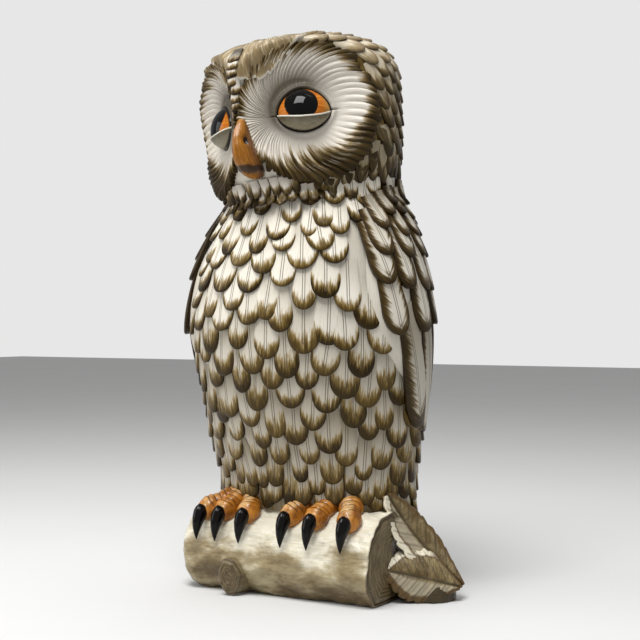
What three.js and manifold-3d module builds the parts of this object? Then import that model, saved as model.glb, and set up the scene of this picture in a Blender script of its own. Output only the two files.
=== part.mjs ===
// A glazed ceramic owl perched on a short birch log, in millimetres, +Z up.
// The owl faces -Y and its left side is +X. The origin is on the log's flat underside, at the log's middle.
// The figure is slip-cast in pieces that are luted together: torso, head, wings, tail, toes, log and leaves.
// Glass eyes sit in sockets behind lower lids, and the beak and talons are glazed apart from the toes.
import * as THREE from 'three';
import { mergeVertices } from 'three/addons/utils/BufferGeometryUtils.js';
import Module from 'manifold-3d';

const wasm = await Module();
wasm.setup();

// ---- Driving dimensions ----
const GAP = 0.3; // clearance of the luting slip or glue between two pieces
const WALL = 8; // slip-cast wall
const ROUND = 40; // sides of a large round section
const ROUND_INSIDE = 24; // of a hollow that doesn't show
const ROUND_SMALL = 14; // and of a small piece

// Each station is [height, half width, half depth, centre in Y, centre in X].
// The figure is widest at the wings and leans a little to its left above them.
const FIGURE = [
  [78, 107, 67, 44, 0],
  [110, 108, 74, 43, 0],
  [143, 113, 83, 40, 0],
  [175, 120, 92, 36, 0],
  [205, 126, 99, 33, 0],
  [235, 131, 103, 29, 0],
  [266, 133, 105, 26, 0],
  [299, 129, 104, 25, 1],
  [331, 121, 100, 25, 3],
  [364, 107, 93, 26, 5],
  [392, 91, 87, 28, 7],
];
// Each station of the relief is [height, how far the wings stand proud of the torso at its sides].
const WING_RELIEF = [[78, 0], [150, 0], [200, 8], [300, 10], [364, 9], [392, 5]];

// Head stations are in the head's own frame, which stands on the seat between head and torso.
const HEAD_SEAT = new THREE.Vector3(6, 12, 386);
const HEAD_ROLL = THREE.MathUtils.degToRad(-6); // the owl cocks its head to its right
const HEAD_TURN = THREE.MathUtils.degToRad(-4); // and turns it a little to its right
const HEAD = [
  [0, 78, 86, 11],
  [18, 89, 94, 7],
  [42, 99, 100, 2],
  [68, 103, 104, 0],
  [98, 105, 107, 0],
  [124, 103, 104, 1],
  [142, 94, 97, 3],
  [154, 79, 81, 6],
  [162, 50, 54, 9],
];
const HEAD_HEIGHT = 165;
const NECK_RADIUS = 56; // neck opening in the head
const SPIGOT_HEIGHT = 12; // of the torso's collar inside the neck opening

// Two facial discs, each a shallow dish cut in the front of the head.
const DISC_TURN = THREE.MathUtils.degToRad(38); // either side of straight ahead
const DISC_HEIGHT = 81; // of a disc's centre above the seat
const DISC_RADIUS = 66;
const DISC_RIM = 85; // from the head's axis to the plane of the rim
const DISH_RADIUS = 230;
const EYE_RADIUS = 27;
const EYE_BULGE = 16; // how far the eye stands out of its dish
const EYE_BACK = 4; // of its flat back behind its centre
const LID_THICKNESS = 2;
const LID_TOP = -8; // the lower lid's edge, below the eye's centre

const BEAK_LENGTH = 60;
const BEAK_ASIDE = 4.5; // towards the owl's left
const BEAK_TOP = 77; // above the seat
const BEAK_REACH = 98; // forward of the head's axis
const BEAK_ARCH = 7;
const BEAK_HOOK = 8;
const BEAK_DEEPENING = 1.5;

const LOG_RADIUS = 47;
const LOG_AXIS_HEIGHT = 38; // lower than the radius, so that the underside is flat
const LOG_CENTRE = new THREE.Vector2(-2, -1);
const LOG_HALF_LENGTH = 112;
const LOG_END_ROUNDING = 20; // of its right-hand end; the left-hand end is sawn square
const LOG_VENT_RADIUS = 8;
const TORSO_VENT_RADIUS = 12;
const TORSO_VENT_BACK = 75; // of the log's axis, in the torso's floor
const STUB_RADIUS = 16;
const STUB_ACROSS = -38; // where the sawn branch leaves the front of the log

// Toes and talons are laid out round the log. Root and tip are places across it, in X;
// start and end are arcs forward from its top.
const TOES = [
  { name: 'right_outer', root: -64, tip: -84 },
  { name: 'right_middle', root: -58, tip: -62 },
  { name: 'right_inner', root: -42, tip: -34 },
  { name: 'left_inner', root: 24, tip: 14 },
  { name: 'left_middle', root: 46, tip: 43 },
  { name: 'left_outer', root: 68, tip: 80 },
];
const TOE_RADIUS = 11.5;
const TOE_START = 4;
const TOE_END = 32;
const TOE_RIDE = 3; // of a toe's centre line above the log
const TALON_LENGTH = 31;
const TALON_RADIUS = 7.5;

const LEAF_THICKNESS = 7;
const LOW_LEAF = {
  stalk: [162, 38, 13], tip: [106, -8, 31], facing: [0.5, -0.8, 0.35], halfWidth: 27, arch: 3, fold: 0.3,
};
const HIGH_LEAF = {
  stalk: [160, 48, 12], tip: [97, 10, 100], facing: [0.65, -0.55, 0.5], halfWidth: 23, arch: -8, fold: -0.15,
};
const LEAF_FOOTING = { centre: [130, 36, 0], size: [28, 28, 34] };

const TAIL_TOP = 215;
const TAIL_THICKNESS = 24;
const TAIL_SET_BACK = 116; // of its middle from the log's axis, at the ground
const TAIL_LEAN = 12; // backwards over its height
const TAIL_HOLLOW = 12; // forwards from its middle to its sides
const TAIL_FOOT_WIDTH = 124;
const TAIL_TOP_WIDTH = 70;

// ---- Finishes ----
const finish = (color, roughness) => new THREE.MeshStandardMaterial({ color, roughness, metalness: 0 });
const PLUMAGE = finish(0xd8d2c6, 0.25);
const EYE_GLASS = finish(0x14100c, 0.05);
const LID_GLAZE = finish(0x8c8570, 0.3);
const BEAK_GLAZE = finish(0xb06a1e, 0.2);
const TOE_GLAZE = finish(0xbf6f22, 0.2);
const TALON_GLAZE = finish(0x0c0b0b, 0.1);
const BARK = finish(0xd9cfb4, 0.3);
const LEAF_GLAZE = finish(0x8f8468, 0.3);

// ---- Booleans ----
function solidOf(geometry) {
  const bare = new THREE.BufferGeometry();
  const flat = geometry.index ? geometry.toNonIndexed() : geometry;
  bare.setAttribute('position', flat.getAttribute('position'));
  const merged = mergeVertices(bare, 1e-3);
  return new wasm.Manifold(new wasm.Mesh({
    numProp: 3,
    vertProperties: merged.attributes.position.array,
    triVerts: new Uint32Array(merged.index.array),
  }));
}

function meshOf(name, solid, material) {
  const made = solid.getMesh();
  const geometry = new THREE.BufferGeometry();
  geometry.setAttribute('position', new THREE.BufferAttribute(made.vertProperties, 3));
  geometry.setIndex(new THREE.BufferAttribute(made.triVerts, 1));
  geometry.computeVertexNormals();
  const mesh = new THREE.Mesh(geometry, material);
  mesh.name = name;
  return mesh;
}

// The solid and its shadow a gap away to each side, to cut a neighbour clear of it.
const grown = (solid) => [[1, 0, 0], [-1, 0, 0], [0, 1, 0], [0, -1, 0], [0, 0, 1], [0, 0, -1]]
  .map((way) => solid.translate(way.map((w) => w * GAP)))
  .reduce((all, shadow) => all.add(shadow), solid);

const placed = (geometry, matrix) => solidOf(geometry.clone().applyMatrix4(matrix));
const moved = (x, y, z) => new THREE.Matrix4().makeTranslation(x, y, z);
const bigBox = (size) => new THREE.BoxGeometry(size, size, size);
const HUGE = 600; // side of a box that reaches past the whole figure
const ground = placed(bigBox(HUGE), moved(0, 0, -HUGE / 2));

// ---- Lofts ----
// Half width, half depth and centres at a height, on a smooth curve through the stations.
function sectionAt(stations, z) {
  const curve = new THREE.CubicInterpolant(
    stations.map((s) => s[0]),
    stations.flatMap((s) => s.slice(1)),
    stations[0].length - 1,
  );
  return curve.evaluate(z);
}

// A lathe of unit radius whose rings are stretched to the stations, grown outwards by `grow`.
function loft(stations, low, high, { grow = 0, crown = 0, rings = 14, sides = ROUND } = {}) {
  const profile = [new THREE.Vector2(0, low)];
  for (let i = 0; i <= rings; i++) {
    profile.push(new THREE.Vector2(1, THREE.MathUtils.lerp(low, high, i / rings)));
  }
  profile.push(new THREE.Vector2(0, high + crown));
  const geometry = new THREE.LatheGeometry(profile, sides).rotateX(Math.PI / 2);
  const position = geometry.getAttribute('position');
  for (let i = 0; i < position.count; i++) {
    const z = Math.min(position.getZ(i), high);
    const [halfWidth, halfDepth, centreY, centreX = 0] = sectionAt(stations, z);
    position.setX(i, centreX + position.getX(i) * (halfWidth + grow));
    position.setY(i, centreY + position.getY(i) * (halfDepth + grow));
  }
  return solidOf(geometry);
}

const reliefAt = (z) => new THREE.LinearInterpolant(
  WING_RELIEF.map((s) => s[0]), WING_RELIEF.map((s) => s[1]), 1).evaluate(z)[0];
const TORSO = FIGURE.map(([z, halfWidth, ...rest]) => [z, halfWidth - reliefAt(z), ...rest]);
const TORSO_LOW = FIGURE[0][0];
const TORSO_HIGH = FIGURE.at(-1)[0];

// ---- Frames ----
const headFrame = moved(...HEAD_SEAT.toArray())
  .multiply(new THREE.Matrix4().makeRotationY(HEAD_ROLL))
  .multiply(new THREE.Matrix4().makeRotationZ(HEAD_TURN));

const inHead = (x, y, z) => headFrame.clone().multiply(moved(x, y, z));

// A frame on the head's axis at a facial disc's height: +Z points out through the disc and +Y up the face.
function discFrame(side) {
  const out = new THREE.Vector3(side * Math.sin(DISC_TURN), -Math.cos(DISC_TURN), 0);
  const up = new THREE.Vector3(0, 0, 1);
  const across = new THREE.Vector3().crossVectors(up, out);
  return inHead(0, 0, DISC_HEIGHT).multiply(new THREE.Matrix4().makeBasis(across, up, out));
}
const dishDepth = DISH_RADIUS - Math.sqrt(DISH_RADIUS ** 2 - DISC_RADIUS ** 2);
const dishFloor = DISC_RIM - dishDepth;
const eyeCentre = dishFloor + EYE_BULGE - EYE_RADIUS;

// Wraps points laid out flat on the log's top round it: Y becomes an arc and Z a height above the bark.
function wrapRoundLog(geometry) {
  const position = geometry.getAttribute('position');
  for (let i = 0; i < position.count; i++) {
    const angle = position.getY(i) / LOG_RADIUS;
    const radius = LOG_RADIUS + position.getZ(i);
    position.setY(i, LOG_CENTRE.y + radius * Math.sin(angle));
    position.setZ(i, LOG_AXIS_HEIGHT + radius * Math.cos(angle));
  }
  return geometry;
}

// ---- Log ----
const logAxis = moved(LOG_CENTRE.x, LOG_CENTRE.y, LOG_AXIS_HEIGHT);

// The log lies along X: its profile runs from the rounded end at -X to the sawn end at +X.
function logSolid(grow = 0) {
  const radius = LOG_RADIUS + grow;
  const end = LOG_HALF_LENGTH + grow;
  const profile = [[0, -end], [radius - LOG_END_ROUNDING, -end]];
  for (const turn of [30, 60, 90].map(THREE.MathUtils.degToRad)) {
    profile.push([
      radius - LOG_END_ROUNDING * (1 - Math.sin(turn)),
      LOG_END_ROUNDING * (1 - Math.cos(turn)) - end,
    ]);
  }
  profile.push([radius, end], [0, end]);
  const round = new THREE.LatheGeometry(profile.map(([r, x]) => new THREE.Vector2(r, x)), ROUND);
  return placed(round.rotateZ(-Math.PI / 2), logAxis).subtract(ground);
}

function perchLog() {
  const core = new THREE.CylinderGeometry(
    LOG_RADIUS - 2 * WALL, LOG_RADIUS - 2 * WALL, 2 * (LOG_HALF_LENGTH - 2 * WALL), ROUND / 2);
  const vent = new THREE.CylinderGeometry(LOG_VENT_RADIUS, LOG_VENT_RADIUS, LOG_AXIS_HEIGHT, ROUND_SMALL);
  return logSolid()
    .subtract(placed(core.rotateZ(Math.PI / 2), logAxis))
    .subtract(placed(vent.rotateX(Math.PI / 2), moved(-LOG_HALF_LENGTH / 2, 0, LOG_AXIS_HEIGHT / 2)));
}

function logStub() {
  const stub = new THREE.CylinderGeometry(STUB_RADIUS + 3, STUB_RADIUS, 40, 20);
  const frame = moved(STUB_ACROSS, -36, STUB_RADIUS + 4).multiply(new THREE.Matrix4().makeRotationZ(-0.25));
  return placed(stub, frame).subtract(logSolid(GAP)).subtract(ground);
}

// ---- Torso, wings and tail ----
// Everything above the slanted seat of the head, less the luting gap.
const aboveSeat = (grow = 0) => placed(bigBox(HUGE), inHead(0, 0, HUGE / 2 + grow - GAP));

function torsoSolid(grow = 0) {
  return loft(TORSO, TORSO_LOW - grow, TORSO_HIGH + 20, { grow }).subtract(aboveSeat(grow));
}

function torsoShell() {
  const inside = { grow: -WALL, rings: 8, sides: ROUND_INSIDE };
  const cavity = loft(TORSO, TORSO_LOW + 2 * WALL, TORSO_HIGH - 3.5 * WALL, inside);
  const vent = new THREE.CylinderGeometry(TORSO_VENT_RADIUS, TORSO_VENT_RADIUS, 6 * WALL, ROUND_SMALL);
  const collarRadius = NECK_RADIUS - GAP;
  const collar = new THREE.CylinderGeometry(collarRadius, collarRadius, 2 * SPIGOT_HEIGHT, ROUND);
  const throat = new THREE.CylinderGeometry(collarRadius - WALL, collarRadius - WALL, 12 * WALL, ROUND);
  return torsoSolid()
    .add(placed(collar.rotateX(Math.PI / 2), inHead(0, 0, 0)))
    .subtract(cavity)
    .subtract(placed(throat.rotateX(Math.PI / 2), inHead(0, 0, 0)))
    .subtract(placed(vent.rotateX(Math.PI / 2), moved(0, TORSO_VENT_BACK, TORSO_LOW)))
    .subtract(logSolid(GAP));
}

// The wing's outline from the side: Y runs towards the back, and the tip is low and well behind the shoulder.
function wingOutline() {
  const outline = new THREE.Shape();
  outline.moveTo(34, 384);
  outline.bezierCurveTo(-22, 380, -36, 334, -32, 284);
  outline.bezierCurveTo(-28, 234, 24, 206, 66, 156);
  outline.bezierCurveTo(96, 190, 116, 250, 116, 310);
  outline.bezierCurveTo(114, 352, 84, 386, 34, 384);
  return outline;
}

function wing(side) {
  const depth = 110; // from inside the torso to outside the figure
  const inner = 50;
  const slab = new THREE.ExtrudeGeometry(wingOutline(), { depth, bevelEnabled: false, curveSegments: 8 });
  const upright = new THREE.Matrix4().makeBasis(
    new THREE.Vector3(0, 1, 0), new THREE.Vector3(0, 0, 1), new THREE.Vector3(1, 0, 0));
  const place = moved(side > 0 ? inner : -inner - depth, 0, 0).multiply(upright);
  return loft(FIGURE, TORSO_LOW, TORSO_HIGH)
    .intersect(placed(slab, place))
    .subtract(aboveSeat())
    .subtract(torsoSolid(GAP));
}

// A fan down the torso's back, curved across like the back it lies on, that stands on the ground.
function tail() {
  const fan = new THREE.BoxGeometry(2, TAIL_THICKNESS, TAIL_TOP, 10, 1, 10).translate(0, 0, TAIL_TOP / 2);
  const position = fan.getAttribute('position');
  for (let i = 0; i < position.count; i++) {
    const across = position.getX(i);
    const height = position.getZ(i) / TAIL_TOP;
    position.setX(i, across * THREE.MathUtils.lerp(TAIL_FOOT_WIDTH, TAIL_TOP_WIDTH, height ** 1.5) / 2);
    position.setY(i, position.getY(i) + TAIL_SET_BACK + TAIL_LEAN * height - TAIL_HOLLOW * across * across);
  }
  return solidOf(fan).subtract(torsoSolid(GAP));
}

// ---- Head ----
function headSolid(grow = 0) {
  const crown = HEAD_HEIGHT - HEAD.at(-1)[0];
  const round = loft(HEAD, 0, HEAD.at(-1)[0], { grow, crown }).transform(headFrame.elements);
  return [1, -1].reduce((head, side) => {
    const dish = new THREE.SphereGeometry(DISH_RADIUS - grow, ROUND, ROUND);
    return head.subtract(placed(dish, discFrame(side).multiply(moved(0, 0, dishFloor + DISH_RADIUS))));
  }, round);
}

const eyeBall = (side, grow = 0) => placed(
  new THREE.SphereGeometry(EYE_RADIUS + grow, 24, 16),
  discFrame(side).multiply(moved(0, 0, eyeCentre)));

// Everything outwards of an eye's flat back.
const eyeWindow = (side) => placed(
  bigBox(HUGE), discFrame(side).multiply(moved(0, 0, eyeCentre + HUGE / 2 - EYE_BACK)));

const eye = (side) => eyeBall(side).intersect(eyeWindow(side));

function lowerLid(side) {
  const below = placed(bigBox(HUGE), discFrame(side).multiply(moved(0, LID_TOP - HUGE / 2, HUGE / 2)));
  return eyeBall(side, LID_THICKNESS + GAP)
    .intersect(below)
    .subtract(eyeBall(side, GAP))
    .subtract(headSolid());
}

// The beak is a lathed spindle, deepened and bent so that its tip hooks towards the breast.
function beakSolid(grow = 0) {
  const profile = [
    [0, 0], [2.6, 1], [5.8, 10], [8.6, 21], [10, 33], [10, 43], [9.2, 51], [6.2, 57], [0, BEAK_LENGTH],
  ];
  const spindle = new THREE.LatheGeometry(
    profile.map(([r, s]) => new THREE.Vector2(r ? r + grow : 0, s)), 16).rotateX(-Math.PI / 2);
  const position = spindle.getAttribute('position');
  for (let i = 0; i < position.count; i++) {
    const along = -position.getZ(i) / BEAK_LENGTH;
    const bend = BEAK_HOOK * along * along - BEAK_ARCH * Math.sin(Math.PI * along);
    position.setY(i, position.getY(i) * BEAK_DEEPENING + bend);
  }
  return placed(spindle, inHead(BEAK_ASIDE, -BEAK_REACH, BEAK_TOP));
}

function headShell() {
  const inside = { grow: -WALL, rings: 8, sides: ROUND_INSIDE };
  const cavity = loft(HEAD, -1, HEAD.at(-2)[0] - WALL / 2, inside).transform(headFrame.elements);
  const faceless = [1, -1].reduce((hollow, side) => {
    const dish = new THREE.SphereGeometry(DISH_RADIUS + 2 * WALL, ROUND_INSIDE, ROUND_INSIDE / 2);
    return hollow.subtract(placed(dish, discFrame(side).multiply(moved(0, 0, dishFloor + DISH_RADIUS))));
  }, cavity);
  const mouth = new THREE.CylinderGeometry(NECK_RADIUS, NECK_RADIUS, 3 * WALL, ROUND).rotateX(Math.PI / 2);
  const hollow = faceless
    .subtract(placed(bigBox(HUGE), inHead(0, 0, WALL - HUGE / 2)))
    .add(placed(mouth, inHead(0, 0, WALL / 2)));
  return [1, -1].reduce(
    (head, side) => head.subtract(eyeBall(side, GAP)),
    headSolid().subtract(hollow).subtract(beakSolid(GAP)));
}

// ---- Feet ----
// A toe's own frame on the unrolled log: the toe starts under the belly and points at its tip.
function toeFrame({ root, tip }) {
  const turn = Math.PI + Math.atan2(tip - root, TOE_END - TOE_START);
  return moved(root, -TOE_START, 0).multiply(new THREE.Matrix4().makeRotationZ(turn));
}

function toeSolid(toe, grow = 0) {
  const length = Math.hypot(toe.root - toe.tip, TOE_END - TOE_START);
  const capsule = new THREE.CapsuleGeometry(TOE_RADIUS + grow, length, 4, ROUND_SMALL, 3);
  capsule.translate(0, length / 2, TOE_RIDE);
  return solidOf(wrapRoundLog(capsule.applyMatrix4(toeFrame(toe))));
}

function talonSolid(toe, grow = 0) {
  const profile = [[0, 0], [0.75, 0.02], [1, 0.2], [0.92, 0.42], [0.6, 0.7], [0.25, 0.92], [0, 1]];
  const horn = new THREE.LatheGeometry(
    profile.map(([r, s]) => new THREE.Vector2(r ? r * TALON_RADIUS + grow : 0, s * TALON_LENGTH)), 12);
  const position = horn.getAttribute('position');
  for (let i = 0; i < position.count; i++) {
    const along = position.getY(i) / TALON_LENGTH;
    position.setZ(i, position.getZ(i) + 13 - 10 * along * along);
  }
  const forward = moved(toe.tip, -TOE_END - 2, 0).multiply(new THREE.Matrix4().makeRotationZ(Math.PI));
  return solidOf(wrapRoundLog(horn.applyMatrix4(forward)));
}

// ---- Leaves at the log's left end ----
// A frame on a leaf's stalk end: +X runs to its tip and +Z faces out of its upper side.
function leafFrame({ stalk, tip, facing }) {
  const root = new THREE.Vector3(...stalk);
  const along = new THREE.Vector3(...tip).sub(root).normalize();
  const across = new THREE.Vector3(...facing).cross(along).normalize();
  const face = new THREE.Vector3().crossVectors(along, across);
  return moved(...stalk).multiply(new THREE.Matrix4().makeBasis(along, across, face));
}

// A blade with a blunt tip, folded back along its midrib (or forward, if the fold is negative) and arched
// from stalk to tip.
function leafSolid(leaf) {
  const length = new THREE.Vector3(...leaf.tip).distanceTo(new THREE.Vector3(...leaf.stalk));
  const blade = new THREE.BoxGeometry(length, 2, LEAF_THICKNESS, 14, 6, 1).translate(length / 2, 0, 0);
  const position = blade.getAttribute('position');
  for (let i = 0; i < position.count; i++) {
    const along = position.getX(i) / length;
    const across = position.getY(i);
    const width = leaf.halfWidth * THREE.MathUtils.lerp(0.15, 1, Math.sin(Math.PI * along ** 1.15) ** 0.75);
    const lift = leaf.arch * Math.sin(Math.PI * along) - leaf.fold * width * Math.abs(across);
    position.setY(i, across * width);
    position.setZ(i, position.getZ(i) + lift);
  }
  return placed(blade, leafFrame(leaf));
}

function leafFooting() {
  const dome = new THREE.SphereGeometry(1, ROUND_SMALL, ROUND_SMALL / 2);
  return placed(dome.scale(...LEAF_FOOTING.size), moved(...LEAF_FOOTING.centre));
}

// ---- Assembly ----
const owl = new THREE.Group();
const add = (name, solid, material) => owl.add(meshOf(name, solid, material));

add('perch_log', perchLog(), BARK);
add('log_stub', logStub(), BARK);
const clear = (solid, ...cutters) => cutters.reduce((rest, cutter) => rest.subtract(cutter), solid);
const lowLeaf = clear(leafSolid(LOW_LEAF), ground, logSolid(GAP));
const highLeaf = clear(leafSolid(HIGH_LEAF), ground, logSolid(GAP), torsoSolid(GAP), grown(lowLeaf));
const footing = clear(leafFooting(), ground, logSolid(GAP), torsoSolid(GAP), grown(lowLeaf), grown(highLeaf));
add('low_leaf', lowLeaf, LEAF_GLAZE);
add('high_leaf', highLeaf, LEAF_GLAZE);
add('leaf_footing', footing, LEAF_GLAZE);

add('torso_shell', torsoShell(), PLUMAGE);
add('tail', tail(), PLUMAGE);
add('head_shell', headShell(), PLUMAGE);
add('beak', beakSolid(), BEAK_GLAZE);

for (const [label, side] of [['left', 1], ['right', -1]]) {
  add(`${label}_wing`, wing(side), PLUMAGE);
  add(`${label}_eye`, eye(side), EYE_GLASS);
  add(`${label}_lower_lid`, lowerLid(side), LID_GLAZE);
}

TOES.forEach((toe, i) => {
  const neighbours = TOES.slice(0, i).map((other) => toeSolid(other, GAP));
  const cutters = [logSolid(GAP), torsoSolid(GAP), talonSolid(toe, GAP), ...neighbours];
  add(`${toe.name}_toe`, clear(toeSolid(toe), ...cutters), TOE_GLAZE);
  add(`${toe.name}_talon`, clear(talonSolid(toe), logSolid(GAP)), TALON_GLAZE);
});

export default owl;
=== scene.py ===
"""A glazed ceramic owl perched on a log: the looks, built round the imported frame.

Shapes are worked out in millimetres in the frame's own axes: the owl faces -Y, its left side is +X, +Z is up.
"""

import math

import bpy
import numpy as np
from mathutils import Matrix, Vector


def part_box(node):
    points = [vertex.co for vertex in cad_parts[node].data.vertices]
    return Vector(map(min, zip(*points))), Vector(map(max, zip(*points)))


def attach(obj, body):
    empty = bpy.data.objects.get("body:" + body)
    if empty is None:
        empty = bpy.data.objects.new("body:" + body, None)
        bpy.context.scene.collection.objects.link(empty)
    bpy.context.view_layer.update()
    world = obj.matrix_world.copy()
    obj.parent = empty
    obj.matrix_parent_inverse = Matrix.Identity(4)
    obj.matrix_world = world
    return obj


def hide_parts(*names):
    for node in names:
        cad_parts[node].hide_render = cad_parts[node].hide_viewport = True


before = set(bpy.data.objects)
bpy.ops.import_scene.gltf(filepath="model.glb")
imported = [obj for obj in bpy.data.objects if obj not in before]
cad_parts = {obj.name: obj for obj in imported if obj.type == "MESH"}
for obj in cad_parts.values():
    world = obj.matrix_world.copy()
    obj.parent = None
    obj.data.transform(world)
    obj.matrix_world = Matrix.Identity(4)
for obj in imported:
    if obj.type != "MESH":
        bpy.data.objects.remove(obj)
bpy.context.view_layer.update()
MM = 0.001
rng = np.random.default_rng(11)

# ---- The frame's forms: the stations the solids are lofted through ----
# [height, half width, half depth, centre in Y, centre in X]
FIGURE = np.array([
    [78, 107, 67, 44, 0], [110, 108, 74, 43, 0], [143, 113, 83, 40, 0], [175, 120, 92, 36, 0],
    [205, 126, 99, 33, 0], [235, 131, 103, 29, 0], [266, 133, 105, 26, 0], [299, 129, 104, 25, 1],
    [331, 121, 100, 25, 3], [364, 107, 93, 26, 5], [392, 91, 87, 28, 7],
], float)
WING_RELIEF = np.array([[78, 0], [150, 0], [200, 8], [300, 10], [364, 9], [392, 5]], float)
# [height above the seat, half width, half depth, centre in Y]
HEAD = np.array([
    [-12, 72, 80, 13], [0, 78, 86, 11], [18, 89, 94, 7],
    [42, 99, 100, 2], [68, 103, 104, 0], [98, 105, 107, 0],
], float)
HEAD_SEAT = np.array([6.0, 12.0, 386.0])
HEAD_ROLL = math.radians(-6)
HEAD_TURN = math.radians(-4)
HEAD_TOP = 165.0
DOME_START = 98.0
HEAD_CENTRE = np.array([0.0, 4.0, 80.0])
DISC_TURN = math.radians(38)
DISC_HEIGHT = 81.0
DISC_RADIUS = 66.0
DISC_RIM = 85.0
DISH_RADIUS = 230.0
DISH_FLOOR = DISC_RIM - (DISH_RADIUS - math.sqrt(DISH_RADIUS**2 - DISC_RADIUS**2))
EYE_RADIUS = 27.0
SHELL_DROP = 3.4  # how far the bare shells lie under the frame's surface, so that feather tips end near it
SIDES = (("left", 1), ("right", -1))
SIDEWAYS = np.array([1.0, 0, 0])


# ---- Small numeric tools ----
def smooth(x, low, high):
    t = np.clip((np.asarray(x, float) - low) / (high - low), 0, 1)
    return t * t * (3 - 2 * t)


def mix(a, b, t):
    return a + (b - a) * t


def xyz(*parts):
    """The parts as coordinates of one array of points, each spread to the shape of them all."""
    return np.stack(np.broadcast_arrays(*parts), -1)


def full_turn(count):
    """Even angles once round, without the last, which is the first again."""
    return np.linspace(0, 2 * np.pi, count, endpoint=False)


def swell(x, middle, width):
    """1 at the middle, and almost nothing from twice the width away."""
    return np.exp(-(((x - middle) / width) ** 2))


def round_off(x, power=2, least=0.0):
    """The height of a rounded end: 1 up to x = 0, then down to `least` at 1."""
    return np.sqrt(np.clip(1 - np.clip(x, 0, 1) ** power, least, 1))


def unit(v):
    return v / np.maximum(np.linalg.norm(v, axis=-1, keepdims=True), 1e-9)


def through(stations, z, column):
    """A smooth curve through one column of the stations."""
    xs, ys = stations[:, 0], stations[:, column]
    slopes = np.gradient(ys, xs)
    i = np.clip(np.searchsorted(xs, z) - 1, 0, len(xs) - 2)
    h = xs[i + 1] - xs[i]
    t = np.clip((z - xs[i]) / h, 0, 1)
    return (
        (2 * t**3 - 3 * t**2 + 1) * ys[i]
        + (t**3 - 2 * t**2 + t) * h * slopes[i]
        + (3 * t**2 - 2 * t**3) * ys[i + 1]
        + (t**3 - t**2) * h * slopes[i + 1]
    )


def noise(p, scale=1.0, seed=0):
    """Value noise from -1 to 1 at each point, with features about `scale` across."""
    p = np.asarray(p, float) / scale + 31.7 * (seed + 1)
    cell = np.floor(p).astype(np.int64)
    f = p - cell
    f = f * f * (3 - 2 * f)
    total = 0.0
    for corner in np.ndindex(2, 2, 2):
        c = cell + np.array(corner)
        h = (c[..., 0] * 374761393 + c[..., 1] * 668265263 + c[..., 2] * 1440662683) & 0xFFFFFFFF
        h = ((h ^ (h >> 13)) * 1274126177) & 0xFFFFFFFF
        h = (h ^ (h >> 16)) & 0xFFFF
        weight = np.prod(np.where(np.array(corner) == 1, f, 1 - f), axis=-1)
        total = total + weight * (h / 32767.5 - 1)
    return total


def layered(p, scale, seed=0, octaves=3):
    return sum(noise(p, scale / 2**k, seed + k) / 2**k for k in range(octaves))


# ---- Surfaces that pieces are laid on ----
def rotation(axis, angle):
    c, s = math.cos(angle), math.sin(angle)
    if axis == "Y":
        return np.array([[c, 0, s], [0, 1, 0], [-s, 0, c]])
    return np.array([[c, -s, 0], [s, c, 0], [0, 0, 1]])


HEAD_AXES = rotation("Y", HEAD_ROLL) @ rotation("Z", HEAD_TURN)


def from_head(p):
    return p @ HEAD_AXES.T + HEAD_SEAT


def to_head(p):
    return (p - HEAD_SEAT) @ HEAD_AXES


def body_section(z, relief):
    width = through(FIGURE, z, 1) - relief * np.interp(z, WING_RELIEF[:, 0], WING_RELIEF[:, 1])
    return width, through(FIGURE, z, 2), through(FIGURE, z, 3), through(FIGURE, z, 4)


def body_surface(relief):
    """Moves points straight out from the body's axis onto its surface: relief 1 is the torso, 0 the wings."""

    def field(p):
        a, b, cy, cx = body_section(p[..., 2], relief)
        return ((p[..., 0] - cx) / a) ** 2 + ((p[..., 1] - cy) / b) ** 2

    def project(p):
        a, b, cy, cx = body_section(p[..., 2], relief)
        q = unit(xyz((p[..., 0] - cx) / a, (p[..., 1] - cy) / b))
        s = xyz(cx + a * q[..., 0], cy + b * q[..., 1], p[..., 2])
        return s, slope_of(field, s)

    return project


def slope_of(field, p, h=0.5):
    """The unit normal of a field's level surface at p."""
    steps = np.eye(3) * h
    return unit(xyz(*(field(p + s) - field(p - s) for s in steps)))


def smooth_max(a, b, width):
    h = np.maximum(width - np.abs(a - b), 0) / width
    return np.maximum(a, b) + h * h * width / 4


def disc_axes(side):
    out = np.array([side * math.sin(DISC_TURN), -math.cos(DISC_TURN), 0])
    outer = np.array([side * math.cos(DISC_TURN), math.sin(DISC_TURN), 0])
    return outer, np.array([0.0, 0, 1]), out


def head_field(p):
    """Negative inside the head, in the head's own frame."""
    x, y, z = p[..., 0], p[..., 1], p[..., 2]
    t = np.clip((z - DOME_START) / (HEAD_TOP - DOME_START), 0, 1)
    dome = np.where(z > HEAD_TOP, -3 * (z - HEAD_TOP), (1 - t**4) ** (1 / 2.2))
    low = np.minimum(z, DOME_START)
    a, b = through(HEAD, low, 1), through(HEAD, low, 2)
    cy = through(HEAD, low, 3) + 9 * t**2
    field = np.hypot(x, (y - cy) * a / b) - a * dome
    for side in (1, -1):
        centre = disc_axes(side)[2] * (DISH_FLOOR + DISH_RADIUS) + np.array([0, 0, DISC_HEIGHT])
        field = smooth_max(field, DISH_RADIUS - np.linalg.norm(p - centre, axis=-1), 5.0)
    return smooth_max(field, -z - 6.0, 4.0)


def strike(field, start, direction, reach=260.0):
    """Where rays from inside a field first leave it."""
    low = np.zeros(np.broadcast_shapes(start.shape, direction.shape)[:-1])
    high = low + reach
    for _ in range(26):
        middle = (low + high) / 2
        inside = field(start + direction * middle[..., None]) < 0
        low, high = np.where(inside, middle, low), np.where(inside, high, middle)
    return start + direction * low[..., None]


def head_surface(p):
    """Moves points out from the head's centre onto its surface."""
    own = to_head(p)
    s = strike(head_field, HEAD_CENTRE, unit(own - HEAD_CENTRE))
    return from_head(s), slope_of(head_field, s) @ HEAD_AXES.T


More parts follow.
